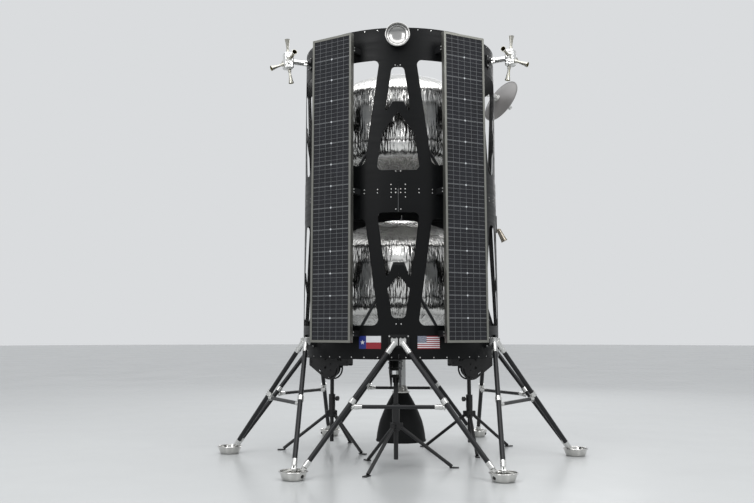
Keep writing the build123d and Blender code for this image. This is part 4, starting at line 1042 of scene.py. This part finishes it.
def laminate_tree():
    """Tree that lays out the cells, printed lines and small diamonds of one upright panel."""
    tree, given = new_shape_tree("Solar laminate", {
        "Columns": "Int", "Rows": "Int", "Pitch": "Float", "Strips Across": "Int", "Strips Down": "Int",
        "Line Width": "Float", "Diamond Size": "Float", "Relief": "Float",
        "Cell Finish": "Material", "Line Finish": "Material", "Diamond Finish": "Material"})
    columns, rows, pitch = given["Columns"], given["Rows"], given["Pitch"]
    strips_x, strips_y = given["Strips Across"], given["Strips Down"]
    relief, width = given["Relief"], given["Line Width"]

    def repeated(shape, count, step, axis):
        """Copies centred about the origin at an even step along an axis."""
        start = add(tree, MATH, (count, 1.0), operation="SUBTRACT")
        half = add(tree, MATH, (step, -0.5), operation="MULTIPLY")
        start = add(tree, MATH, (start, half), operation="MULTIPLY")
        line = add(tree, "GeometryNodeMeshLine", {
            "Count": count, "Start Location": add(tree, COMBINE, {axis: start}),
            "Offset": add(tree, COMBINE, {axis: step})})
        return add(tree, "GeometryNodeInstanceOnPoints", {"Points": line, "Instance": shape})

    def line_part(x, y):
        """Flat bar as thick as the relief."""
        return add(tree, "GeometryNodeMeshCube", {"Size": add(tree, COMBINE, (x, y, relief))})

    across = add(tree, MATH, (pitch, columns), operation="MULTIPLY")
    down = add(tree, MATH, (pitch, rows), operation="MULTIPLY")
    inner_rows = add(tree, MATH, (rows, 1.0), operation="SUBTRACT")

    # The cell comes in as the start mesh, one pitch in size
    cells = repeated(repeated(given[0], columns, pitch, "X"), rows, pitch, "Y")
    count_x = add(tree, MATH, (columns, strips_x, -1.0), operation="MULTIPLY_ADD")
    step_x = add(tree, MATH, (pitch, strips_x), operation="DIVIDE")
    lines_x = repeated(line_part(width, down), count_x, step_x, "X")
    count_y = add(tree, MATH, (rows, strips_y, 1.0), operation="MULTIPLY_ADD")
    step_y = add(tree, MATH, (pitch, strips_y), operation="DIVIDE")
    lines_y = repeated(line_part(across, width), count_y, step_y, "Y")
    border = line_part(across, add(tree, MATH, (width, BORDER_SHARE), operation="MULTIPLY"))
    border_step = add(tree, MATH, (width, BORDER_STEP), operation="MULTIPLY")
    borders = repeated(repeated(border, 2, border_step, "Y"), inner_rows, pitch, "Y")
    flat = add(tree, "GeometryNodeMeshCylinder", {
        "Vertices": 4, "Radius": given["Diamond Size"], "Depth": relief})
    diamonds = repeated(flat, inner_rows, pitch, "Y")

    # Columns: shape, height in reliefs, finish
    layers = [(cells, 0.0, "Cell Finish"), (lines_x, 1.0, "Line Finish"), (lines_y, 1.3, "Line Finish"),
              (borders, 1.6, "Line Finish"), (diamonds, 1.9, "Diamond Finish")]
    parts = [covered(tree, lifted(tree, shape, relief, height), given[label])
             for shape, height, label in layers]
    add(tree, "NodeGroupOutput", (add(tree, "GeometryNodeJoinGeometry", {0: parts}),))
    return tree


def cell_part(size, thickness, cut):
    """Square cell with cut corners, its top face at z = 0."""
    half = size / 2
    outline = []
    for x, y in ((1, 1), (-1, 1), (-1, -1), (1, -1)):
        outline += [(half * x, (half - cut) * y), ((half - cut) * x, half * y)][::x * y]
    count = len(outline)
    vertices = [(x, y, z) for z in (0.0, -thickness) for x, y in outline]
    faces = [list(range(count)), [count + n for n in reversed(range(count))]]
    faces += [[n, n + count, (n + 1) % count + count, (n + 1) % count] for n in range(count)]
    return vertices, faces


class LANDER_OT_panels(bpy.types.Operator):
    """Lays the cells, conductor lines and backing of the four solar panels and finishes their frames"""
    bl_idname = "lander.panels"
    bl_label = "Solar panels"

    def execute(self, context):
        values = settings("panels")
        silicon = cell_silicon()
        silver = finish("Printed silver lines")
        white = finish("White backing between cells")
        dark = finish("Dark panel backing")
        tree = laminate_tree()
        cell = cell_part(values.pitch - CELL_GAP, CELL_THICKNESS, CELL_CUT)
        across, down = values.pitch * CELL_COLUMNS, values.pitch * CELL_ROWS
        half_width = across / 2 + FRAME_LIP - 0.001
        half_height = down / 2 + FRAME_LIP - 0.004
        mitres, bolts = [], []
        for ending, angle, shift in PANELS:
            node = f"panel_cells_{ending}"
            shape = grown(f"solar_cells_{ending}", mesh_of(node, cell, silicon), tree, {
                "Columns": CELL_COLUMNS, "Rows": CELL_ROWS, "Pitch": values.pitch,
                "Strips Across": STRIPS_ACROSS, "Strips Down": STRIPS_DOWN, "Line Width": values.line_width,
                "Diamond Size": DIAMOND_SIZE, "Relief": LINE_RELIEF,
                "Cell Finish": silicon, "Line Finish": silver, "Diamond Finish": white})

            def faced(sink, x=0.0, z=0.0):
                """Matrix of a place on the panel, below its frame's face."""
                middle = place(angle, PANEL_FACE - sink, PANEL_CENTRE_HEIGHT + z, shift + x)
                return aimed(middle, outward(angle))

            shape.transform(faced(LIP + CELL_SINK))
            shape.shade_flat()
            low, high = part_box(node)
            sheet = bar((across + SHEET_MARGIN, high.z - low.z, SHEET_THICKNESS), SHEET_BEVEL)
            solid(f"panel_backing_{ending}", moved(sheet, faced(LIP + BACKING_SINK)), dark,
                  stands_for=(node,))
            backsheet = moved(sheet, faced(LIP + BACKSHEET_SINK))
            solid(f"panel_backsheet_{ending}", backsheet, white)
            piece(f"solar_cells_{ending}", shape)

            for side in (-1, 1):
                for up in (-1, 1):
                    corner = (side * (half_width - FRAME_LIP / 2), up * (half_height - FRAME_LIP / 2))
                    mitres.append(moved(bar(MITRE_CUT), faced(0.0, *corner) @ turn(45.0 * side * up)))
                across_bolt = place(angle, 0.0, 0.0, side)
                bolts += [(place(angle, BRACKET_BOLT_RADIUS, height + up * BRACKET_BOLT_SPREAD,
                                 shift + side * (half_width - BRACKET_BOLT_SINK)), across_bolt)
                          for height in BRACKET_HEIGHTS for up in (-1, 1)]
        dress([f"panel_frame_{ending}" for ending, angle, shift in PANELS], finish("Anodised panel frames"))
        dress(("panel_brackets",), finish("Black painted brackets"))
        solid("frame_mitres", joined(mitres), finish("Dark mitre gaps"))
        heads("bracket_bolts", bolts)
        return {"FINISHED"}


# The legs and their foot bowls

PLATE_MIDDLE = 0.880
PLATE_FACE = 0.781
PLATE_PAD = (0.066, 0.036)
BLOCK_TOP = 0.901
BLOCK_SPREAD = 0.029
BLOCK_NUT_SPREAD = 0.015
BLOCK_NUT_RADII = (0.793, 0.823)
# Radius, height and distance from the middle of a strut's two ends
STRUT_TOP = (0.821, 0.876, 0.023)
STRUT_FOOT = (1.304, 0.055, 0.0345)
COLLAR_FRACTION = 0.48
COLLAR_RADIUS = 0.023
COLLAR_SCREW_SPREAD = 0.011
COLLAR_LEAN = 15
BRACE_NUT_DROP = 0.0518
FOOT_PIN_HALF = 0.0116


def strut_ends(angle, side):
    """Top and foot points of one strut of the leg frame at an angle."""
    top_radius, top_height, top_side = STRUT_TOP
    foot_radius, foot_height, foot_side = STRUT_FOOT
    return (place(angle, top_radius, top_height, side * top_side),
            place(angle + side * LEG_STEP / 2, foot_radius, foot_height, -side * foot_side))


class LANDER_OT_legs(bpy.types.Operator):
    """Finishes the struts, their fittings and the mounts, and sets their bolts and nuts"""
    bl_idname = "lander.legs"
    bl_label = "Legs"

    def execute(self, context):
        dress([f"leg_tubes_{number + 1}" for number in range(SIDES)], finish("Black anodised tube"))
        dress([f"leg_fittings_{number + 1}" for number in range(SIDES)] + ["mount_blocks", "foot_lugs"],
              finish("Machined aluminium fittings"))
        dress(("mount_plates",), finish("Black painted brackets"))

        screws, nuts, pins = [], [], []
        for angle in (number * LEG_STEP for number in range(SIDES)):
            screws += pad_corners(angle, PLATE_FACE, PLATE_MIDDLE, PLATE_PAD)
            for side in (-1, 1):
                nuts += [(place(angle, radius, BLOCK_TOP, side * BLOCK_SPREAD + across), UP)
                         for across in (-BLOCK_NUT_SPREAD, BLOCK_NUT_SPREAD) for radius in BLOCK_NUT_RADII]
                top, foot = strut_ends(angle, side)
                down = (foot - top).normalized()
                middle = top.lerp(foot, COLLAR_FRACTION)
                out = outward(angle + side * COLLAR_LEAN)
                out = (out - down * out.dot(down)).normalized()
                screws += [(middle + down * step + out * COLLAR_RADIUS, out)
                           for step in (-COLLAR_SCREW_SPREAD, COLLAR_SCREW_SPREAD)]
                nuts.append((middle - UP * BRACE_NUT_DROP, -UP))
                level = (foot - top).cross(UP).normalized()
                pins += both_ends(foot, level * -FOOT_PIN_HALF)
        heads("mount_screws", screws)
        heads("clamp_nuts", nuts)
        heads("foot_pin_nuts", pins)
        return {"FINISHED"}


BOWL_CIRCLE = 1.350
PLUG_TURN = 82.0
PLUG_REACH = 0.0822
PLUG_HEIGHT = 0.028
PLUG_LEAN = -0.364
# Count, radius, height
BOWL_RIVETS = (8, 0.050, 0.008)


class LANDER_OT_feet(bpy.types.Operator):
    """Polishes the foot bowls and sets their rubber plugs and rings of rivets"""
    bl_idname = "lander.feet"
    bl_label = "Foot bowls"

    def execute(self, context):
        plugs, rivets = [], []
        for number in range(SIDES):
            angle = (number + 0.5) * LEG_STEP
            dress((f"foot_bowl_{number + 1}",), finish("Polished stainless steel"))
            centre = place(angle, BOWL_CIRCLE, 0.0)
            facing = angle + (PLUG_TURN if number % 2 else -PLUG_TURN)
            plugs.append((centre + place(facing, PLUG_REACH, PLUG_HEIGHT), outward(facing, PLUG_LEAN)))
            rivets += carried(Matrix.Translation(centre), ring_spots(*BOWL_RIVETS))
        heads("bowl_plugs", plugs, coat="Black rubber plugs")
        heads("bowl_rivets", rivets)
        return {"FINISHED"}


# The engine

# Columns: count, radius, height, direction
ENGINE_BOLTS = [(12, 0.0650, 0.483, 1.0), (8, 0.0448, 0.905, -1.0), (8, 0.0448, 0.925, 1.0)]
# Radius, thickness, height
BELL_LIP = (0.1952, 0.0016, 0.1135)


class LANDER_OT_engine(bpy.types.Operator):
    """Finishes the engine bell, its collar and the feed pipe, and sets their bolts"""
    bl_idname = "lander.engine"
    bl_label = "Engine"

    def execute(self, context):
        bell = finish("Matte black bell coating")
        dress(("engine_bell",), bell)
        dress(("engine_collar",), finish("Brushed collar steel"))
        dress(("feed_pipe",), finish("Light grey pipe paint"))
        heads("engine_bolts", [bolt for ring in ENGINE_BOLTS for bolt in ring_spots(*ring)])
        solid("bell_lip_ring", ring_part(*BELL_LIP), bell)
        return {"FINISHED"}


# The thrusters

THRUSTER_ANGLES = (65.0, -65.0, 180.0)
# Depth, scale and roughness of the film's facets
VALVE_FACETS = (0.003, 60.0, 0.24)
THRUSTER_RADIUS = 0.958
THRUSTER_HEIGHT = 3.055
HOUSING_SIZE = (0.076, 0.072, 0.132)
HOUSING_EDGE = 0.014
HOUSING_CUTS = {"Vertices X": 30, "Vertices Y": 30, "Vertices Z": 46}
FINE_CRUMPLES = 1.8
WRAP_SMOOTH_ANGLE = 28.0
THRUSTER_PAD_FACE = 0.779
THRUSTER_PAD = (0.023, 0.038)
ARM_PIN_PLACE = 0.806
ARM_PIN_HALF = 0.017
BORE_FACING = -0.2
# Columns: start sideways, outwards and up from the housing's middle, then the same for the direction
NOZZLE_AXES = [
    (0.0, 0.004, 0.064, 0.03, 0.06, 1.0),
    (0.0, -0.010, -0.064, 0.0, -0.16, -1.0),
    (-0.036, -0.008, 0.018, -1.0, 0.0, 0.12),
    (0.036, -0.008, 0.018, 1.0, 0.0, 0.12),
    (0.0, 0.034, -0.028, 0.0, 1.0, -0.45),
]


def crumple_tree():
    """Tree that rounds a box and crumples the film round it into dents and sharp folds."""
    tree, given = new_shape_tree("Crumpled wrap", {
        "Size": "Vector", "Corner": "Float", "Fold Depth": "Float", "Fold Width": "Float", "Seed": "Float",
        "Finish": "Material"})
    size, corner = given["Size"], given["Corner"]
    box = add(tree, "GeometryNodeMeshCube", {"Size": size, **HOUSING_CUTS})
    here = add(tree, "GeometryNodeInputPosition")

    # Each point goes out from the nearest point of a smaller box by the radius of the corners
    half = add(tree, VECTOR_MATH, (size, 0.5), operation="SCALE")
    core = add(tree, VECTOR_MATH, (half, add(tree, COMBINE, (corner,) * 3)), operation="SUBTRACT")
    low_core = add(tree, VECTOR_MATH, (core, -1.0), operation="SCALE")
    inner = add(tree, VECTOR_MATH, (here, core), operation="MINIMUM")
    inner = add(tree, VECTOR_MATH, (inner, low_core), operation="MAXIMUM")
    away = add(tree, VECTOR_MATH, (here, inner), operation="SUBTRACT")
    away = add(tree, VECTOR_MATH, (away,), operation="NORMALIZE")
    skin = add(tree, VECTOR_MATH, (away, corner), operation="SCALE")
    skin = add(tree, VECTOR_MATH, (inner, skin), operation="ADD")

    rate = add(tree, MATH, (1.0, given["Fold Width"]), operation="DIVIDE")
    fine_rate = add(tree, MATH, (rate, FINE_CRUMPLES), operation="MULTIPLY")
    dents = add(tree, "ShaderNodeTexVoronoi", {"Vector": skin, "W": given["Seed"], "Scale": rate},
                voronoi_dimensions="4D")
    fine = add(tree, NOISE, {"Vector": skin, "W": given["Seed"], "Scale": fine_rate, "Detail": 2.0},
               noise_dimensions="4D")
    offset = add(tree, MATH, (dents, fine), operation="ADD")
    offset = add(tree, MATH, (offset, 1.0), operation="SUBTRACT")
    offset = add(tree, MATH, (offset, given["Fold Depth"]), operation="MULTIPLY")
    folds = add(tree, VECTOR_MATH, (away, offset), operation="SCALE")
    crumpled = add(tree, VECTOR_MATH, (skin, folds), operation="ADD")
    bent = add(tree, "GeometryNodeSetPosition", {"Geometry": box, "Position": crumpled})
    add(tree, "NodeGroupOutput", (covered(tree, bent, given["Finish"]),))
    return tree


def line_inside(node, finish_inside, axes):
    """Gives a second finish to the faces of open bells that look towards the nearest axis."""
    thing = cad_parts[node]
    mesh = thing.data
    mesh.materials.append(finish_inside)
    rotation = thing.matrix_world.to_3x3()
    for face in mesh.polygons:
        centre = thing.matrix_world @ face.center
        offsets = [centre - start - way * (centre - start).dot(way) for start, way in axes]
        away = min(offsets, key=lambda offset: offset.length)
        if (rotation @ face.normal).dot(away) < BORE_FACING * away.length:
            face.material_index = len(mesh.materials) - 1


class LANDER_OT_thrusters(bpy.types.Operator):
    """Wraps the thrusters' valves in crumpled film, and finishes their nozzles, brackets, screws and nuts"""
    bl_idname = "lander.thrusters"
    bl_label = "Attitude thrusters"

    def execute(self, context):
        values = settings("engine")
        film = foil("Crumpled film round the valves", values.film, *VALVE_FACETS)
        tree = crumple_tree()
        wraps, screws, nuts, axes = [], [], [], []
        for number, angle in enumerate(THRUSTER_ANGLES):
            wrap = grown("wrap", bpy.data.meshes.new("wrap"), tree, {
                "Size": HOUSING_SIZE, "Corner": HOUSING_EDGE, "Fold Depth": values.wrap_depth,
                "Fold Width": values.wrap_width, "Seed": float(number), "Finish": film})
            wrap.transform(Matrix.Translation(place(angle, THRUSTER_RADIUS, THRUSTER_HEIGHT)) @ turn(angle))
            wraps.append(([tuple(v.co) for v in wrap.vertices], [list(f.vertices) for f in wrap.polygons]))
            screws += pad_corners(angle, THRUSTER_PAD_FACE, THRUSTER_HEIGHT, THRUSTER_PAD)
            nuts += both_ends(place(angle, ARM_PIN_PLACE, THRUSTER_HEIGHT), UP * ARM_PIN_HALF)
            for side, out, up, way_side, way_out, way_up in NOZZLE_AXES:
                axes.append((place(angle, THRUSTER_RADIUS + out, THRUSTER_HEIGHT + up, side),
                             place(angle, way_out, way_up, way_side).normalized()))
        solid("thruster_wraps", joined(wraps), film, stands_for=("thruster_housings",),
              sharp=WRAP_SMOOTH_ANGLE)
        dress(("thruster_brackets",), finish("Black painted brackets"))
        dress(("thruster_arms",), finish("Machined aluminium fittings"))
        dress(("thruster_nozzles",), finish("Small nozzle steel"))
        line_inside("thruster_nozzles", finish("Heat tinted nozzle bore"), axes)
        heads("thruster_pad_screws", screws)
        heads("thruster_pin_nuts", nuts)
        return {"FINISHED"}


# The dish antenna

DISH_BALL = (0.816, 0.347, 2.964)
DISH_HEADING = 32.3
DISH_DIP = 25.5
SWIVEL_OFFSET = 0.040
DISH_PAD_FACE = 0.779
DISH_PAD = (0.023, 0.029)
DISH_PAD_LIFT = 0.016
SWIVEL_PIN_HALF = 0.0202
TILT_PIN_HALF = 0.0256
DISH_FLANGE = 0.0235


class LANDER_OT_dish(bpy.types.Operator):
    """Finishes the dish antenna and sets its screws and pin nuts"""
    bl_idname = "lander.dish"
    bl_label = "Dish antenna"

    def execute(self, context):
        dress(("dish_bracket", "dish_hub"), finish("White painted fittings"))
        dress(("dish_reflector",), finish("Grey dish paint"))
        dress(("dish_yoke", "dish_feed"), finish("Machined aluminium fittings"))

        # The swivel has +X along the dish's level heading; the dish is tilted on it
        swivel = Matrix.Translation(DISH_BALL) @ turn(DISH_HEADING)
        dish = swivel @ turn(DISH_DIP, "Y")
        pivot = (-SWIVEL_OFFSET, 0.0, 0.0)
        barrel = swivel @ Vector(pivot)
        angle = degrees(atan2(barrel.x, -barrel.y))
        heads("dish_pad_screws", pad_corners(angle, DISH_PAD_FACE, DISH_BALL[2] + DISH_PAD_LIFT, DISH_PAD))
        heads("swivel_pin_nuts", carried(swivel, both_ends(pivot, UP * SWIVEL_PIN_HALF)), "dish_swivel")
        heads("tilt_pin_nuts", carried(dish, both_ends((0.0, 0.0, 0.0), (0.0, TILT_PIN_HALF, 0.0))), "dish")
        flange = ring_spots(6, DISH_FLANGE, -DISH_FLANGE, start=30.0)
        heads("dish_flange_screws", carried(dish @ turn(-90.0, "Y"), flange), "dish")
        return {"FINISHED"}


# The lamp and the side sensor

LAMP_HEIGHT = 3.109
LAMP_BACK = 0.781
# Radius, thickness, distance from the back
LAMP_GASKET = (0.0790, 0.0016, 0.0322)
# Count, radius, distance from the back
LAMP_SCREWS = (12, 0.0728, 0.0302)
SENSOR_ANGLE = 88.0
STRAP_HEIGHTS = (1.732, 1.868)
STRAP_WIDTH = 0.034
STRAP_THICKNESS = 0.006
STRAP_BEVEL = 0.0012
STRAP_SCREW_SPREAD = 0.010
STRAP_SCREW_HEIGHTS = (1.822, 1.852)


class LANDER_OT_lamp(bpy.types.Operator):
    """Finishes the round lamp and the side sensor, with their gasket, strap and screws"""
    bl_idname = "lander.lamp"
    bl_label = "Lamp and sensor"

    def execute(self, context):
        dress(("front_lamp",), finish("Satin lamp bowl steel"))
        dress(("side_sensor",), finish("Bronze tinted sensor metal"))
        front = aimed((0.0, -LAMP_BACK, LAMP_HEIGHT), outward(0.0))
        solid("lamp_gasket", moved(ring_part(*LAMP_GASKET), front), finish("Black rubber plugs"))
        heads("lamp_screws", carried(front, ring_spots(*LAMP_SCREWS)))
        low, high = STRAP_HEIGHTS
        strap = bar((STRAP_WIDTH, STRAP_THICKNESS, high - low), STRAP_BEVEL)
        middle = place(SENSOR_ANGLE, SHELL_RADIUS + STRAP_THICKNESS / 2, (low + high) / 2)
        solid("sensor_strap", moved(strap, Matrix.Translation(middle) @ turn(SENSOR_ANGLE)),
              finish("Black painted brackets"))
        heads("sensor_screws", [spot(SENSOR_ANGLE, SHELL_RADIUS + STRAP_THICKNESS, height, side)
                                for side in (-STRAP_SCREW_SPREAD, STRAP_SCREW_SPREAD)
                                for height in STRAP_SCREW_HEIGHTS])
        return {"FINISHED"}


# The tripods

# Columns: angle and radius of each mast, turn of its first leg from the outward direction
TRIPOD_PLACES = [(-2.0, 0.672, -25.2), (-116.8, 0.641, 38.8), (116.1, 0.616, 8.2)]
TRIPOD_LEGS = 3
# Columns: outwards and up from the mast, on both faces of a head or of a leg's ears
HEAD_BOLTS = [(0.0, 0.685), (0.0, 0.635), (-0.160, 0.700), (0.185, 0.700), (0.185, 0.735), (-0.160, 0.735)]
EAR_BOLTS = [(0.040, 0.278), (0.040, 0.296)]
HEAD_FACE = 0.0356
EAR_FACE = 0.0172


class LANDER_OT_stands(bpy.types.Operator):
    """Finishes the three tripods under the shell and sets their bolts"""
    bl_idname = "lander.stands"
    bl_label = "Tripods"

    def execute(self, context):
        dress(("tripod_masts", "tripod_legs", "tripod_heads"), finish("Matte black powder coat"))

        def through(matrix, places, face):
            """Spots on both faces of a part, at places in its own frame."""
            ends = [end for x, z in places for end in both_ends((x, 0.0, z), (0.0, face, 0.0))]
            return carried(matrix, ends)

        bolts = []
        for angle, radius, first in TRIPOD_PLACES:
            stand = Matrix.Translation(place(angle, radius, 0.0)) @ turn(angle - 90)
            bolts += through(stand, HEAD_BOLTS, HEAD_FACE)
            for number in range(TRIPOD_LEGS):
                leg = stand @ turn(first + number * FULL_TURN / TRIPOD_LEGS)
                bolts += through(leg, EAR_BOLTS, EAR_FACE)
        heads("tripod_bolts", bolts, coat="Black oxide bolts")
        return {"FINISHED"}


OPERATORS = (LANDER_OT_stage, LANDER_OT_shell, LANDER_OT_tanks, LANDER_OT_panels, LANDER_OT_legs,
             LANDER_OT_feet, LANDER_OT_engine, LANDER_OT_thrusters, LANDER_OT_dish, LANDER_OT_lamp,
             LANDER_OT_stands)


class LANDER_PT_panel(bpy.types.Panel):
    """Buttons and settings of the lander"""
    bl_idname = "LANDER_PT_panel"
    bl_label = "Lunar lander"
    bl_space_type = "VIEW_3D"
    bl_region_type = "UI"
    bl_category = "Lander"

    def draw(self, context):
        for operator in OPERATORS:
            self.layout.operator(operator.bl_idname)
        for group, kind in GROUPS.items():
            box = self.layout.box()
            box.label(text=group.capitalize())
            for name in kind.__annotations__:
                box.prop(getattr(context.scene, f"lander_{group}"), name)


def register():
    for kind in (*GROUPS.values(), *OPERATORS, LANDER_PT_panel):
        bpy.utils.register_class(kind)
    for group, kind in GROUPS.items():
        setattr(bpy.types.Scene, f"lander_{group}", bpy.props.PointerProperty(type=kind))


def unregister():
    for group in GROUPS:
        delattr(bpy.types.Scene, f"lander_{group}")
    for kind in reversed((*GROUPS.values(), *OPERATORS, LANDER_PT_panel)):
        bpy.utils.unregister_class(kind)


def main():
    """Makes every piece in order."""
    register()
    for operator in OPERATORS:
        group, name = operator.bl_idname.split(".")
        getattr(getattr(bpy.ops, group), name)()


if __name__ == "__main__":
    main()
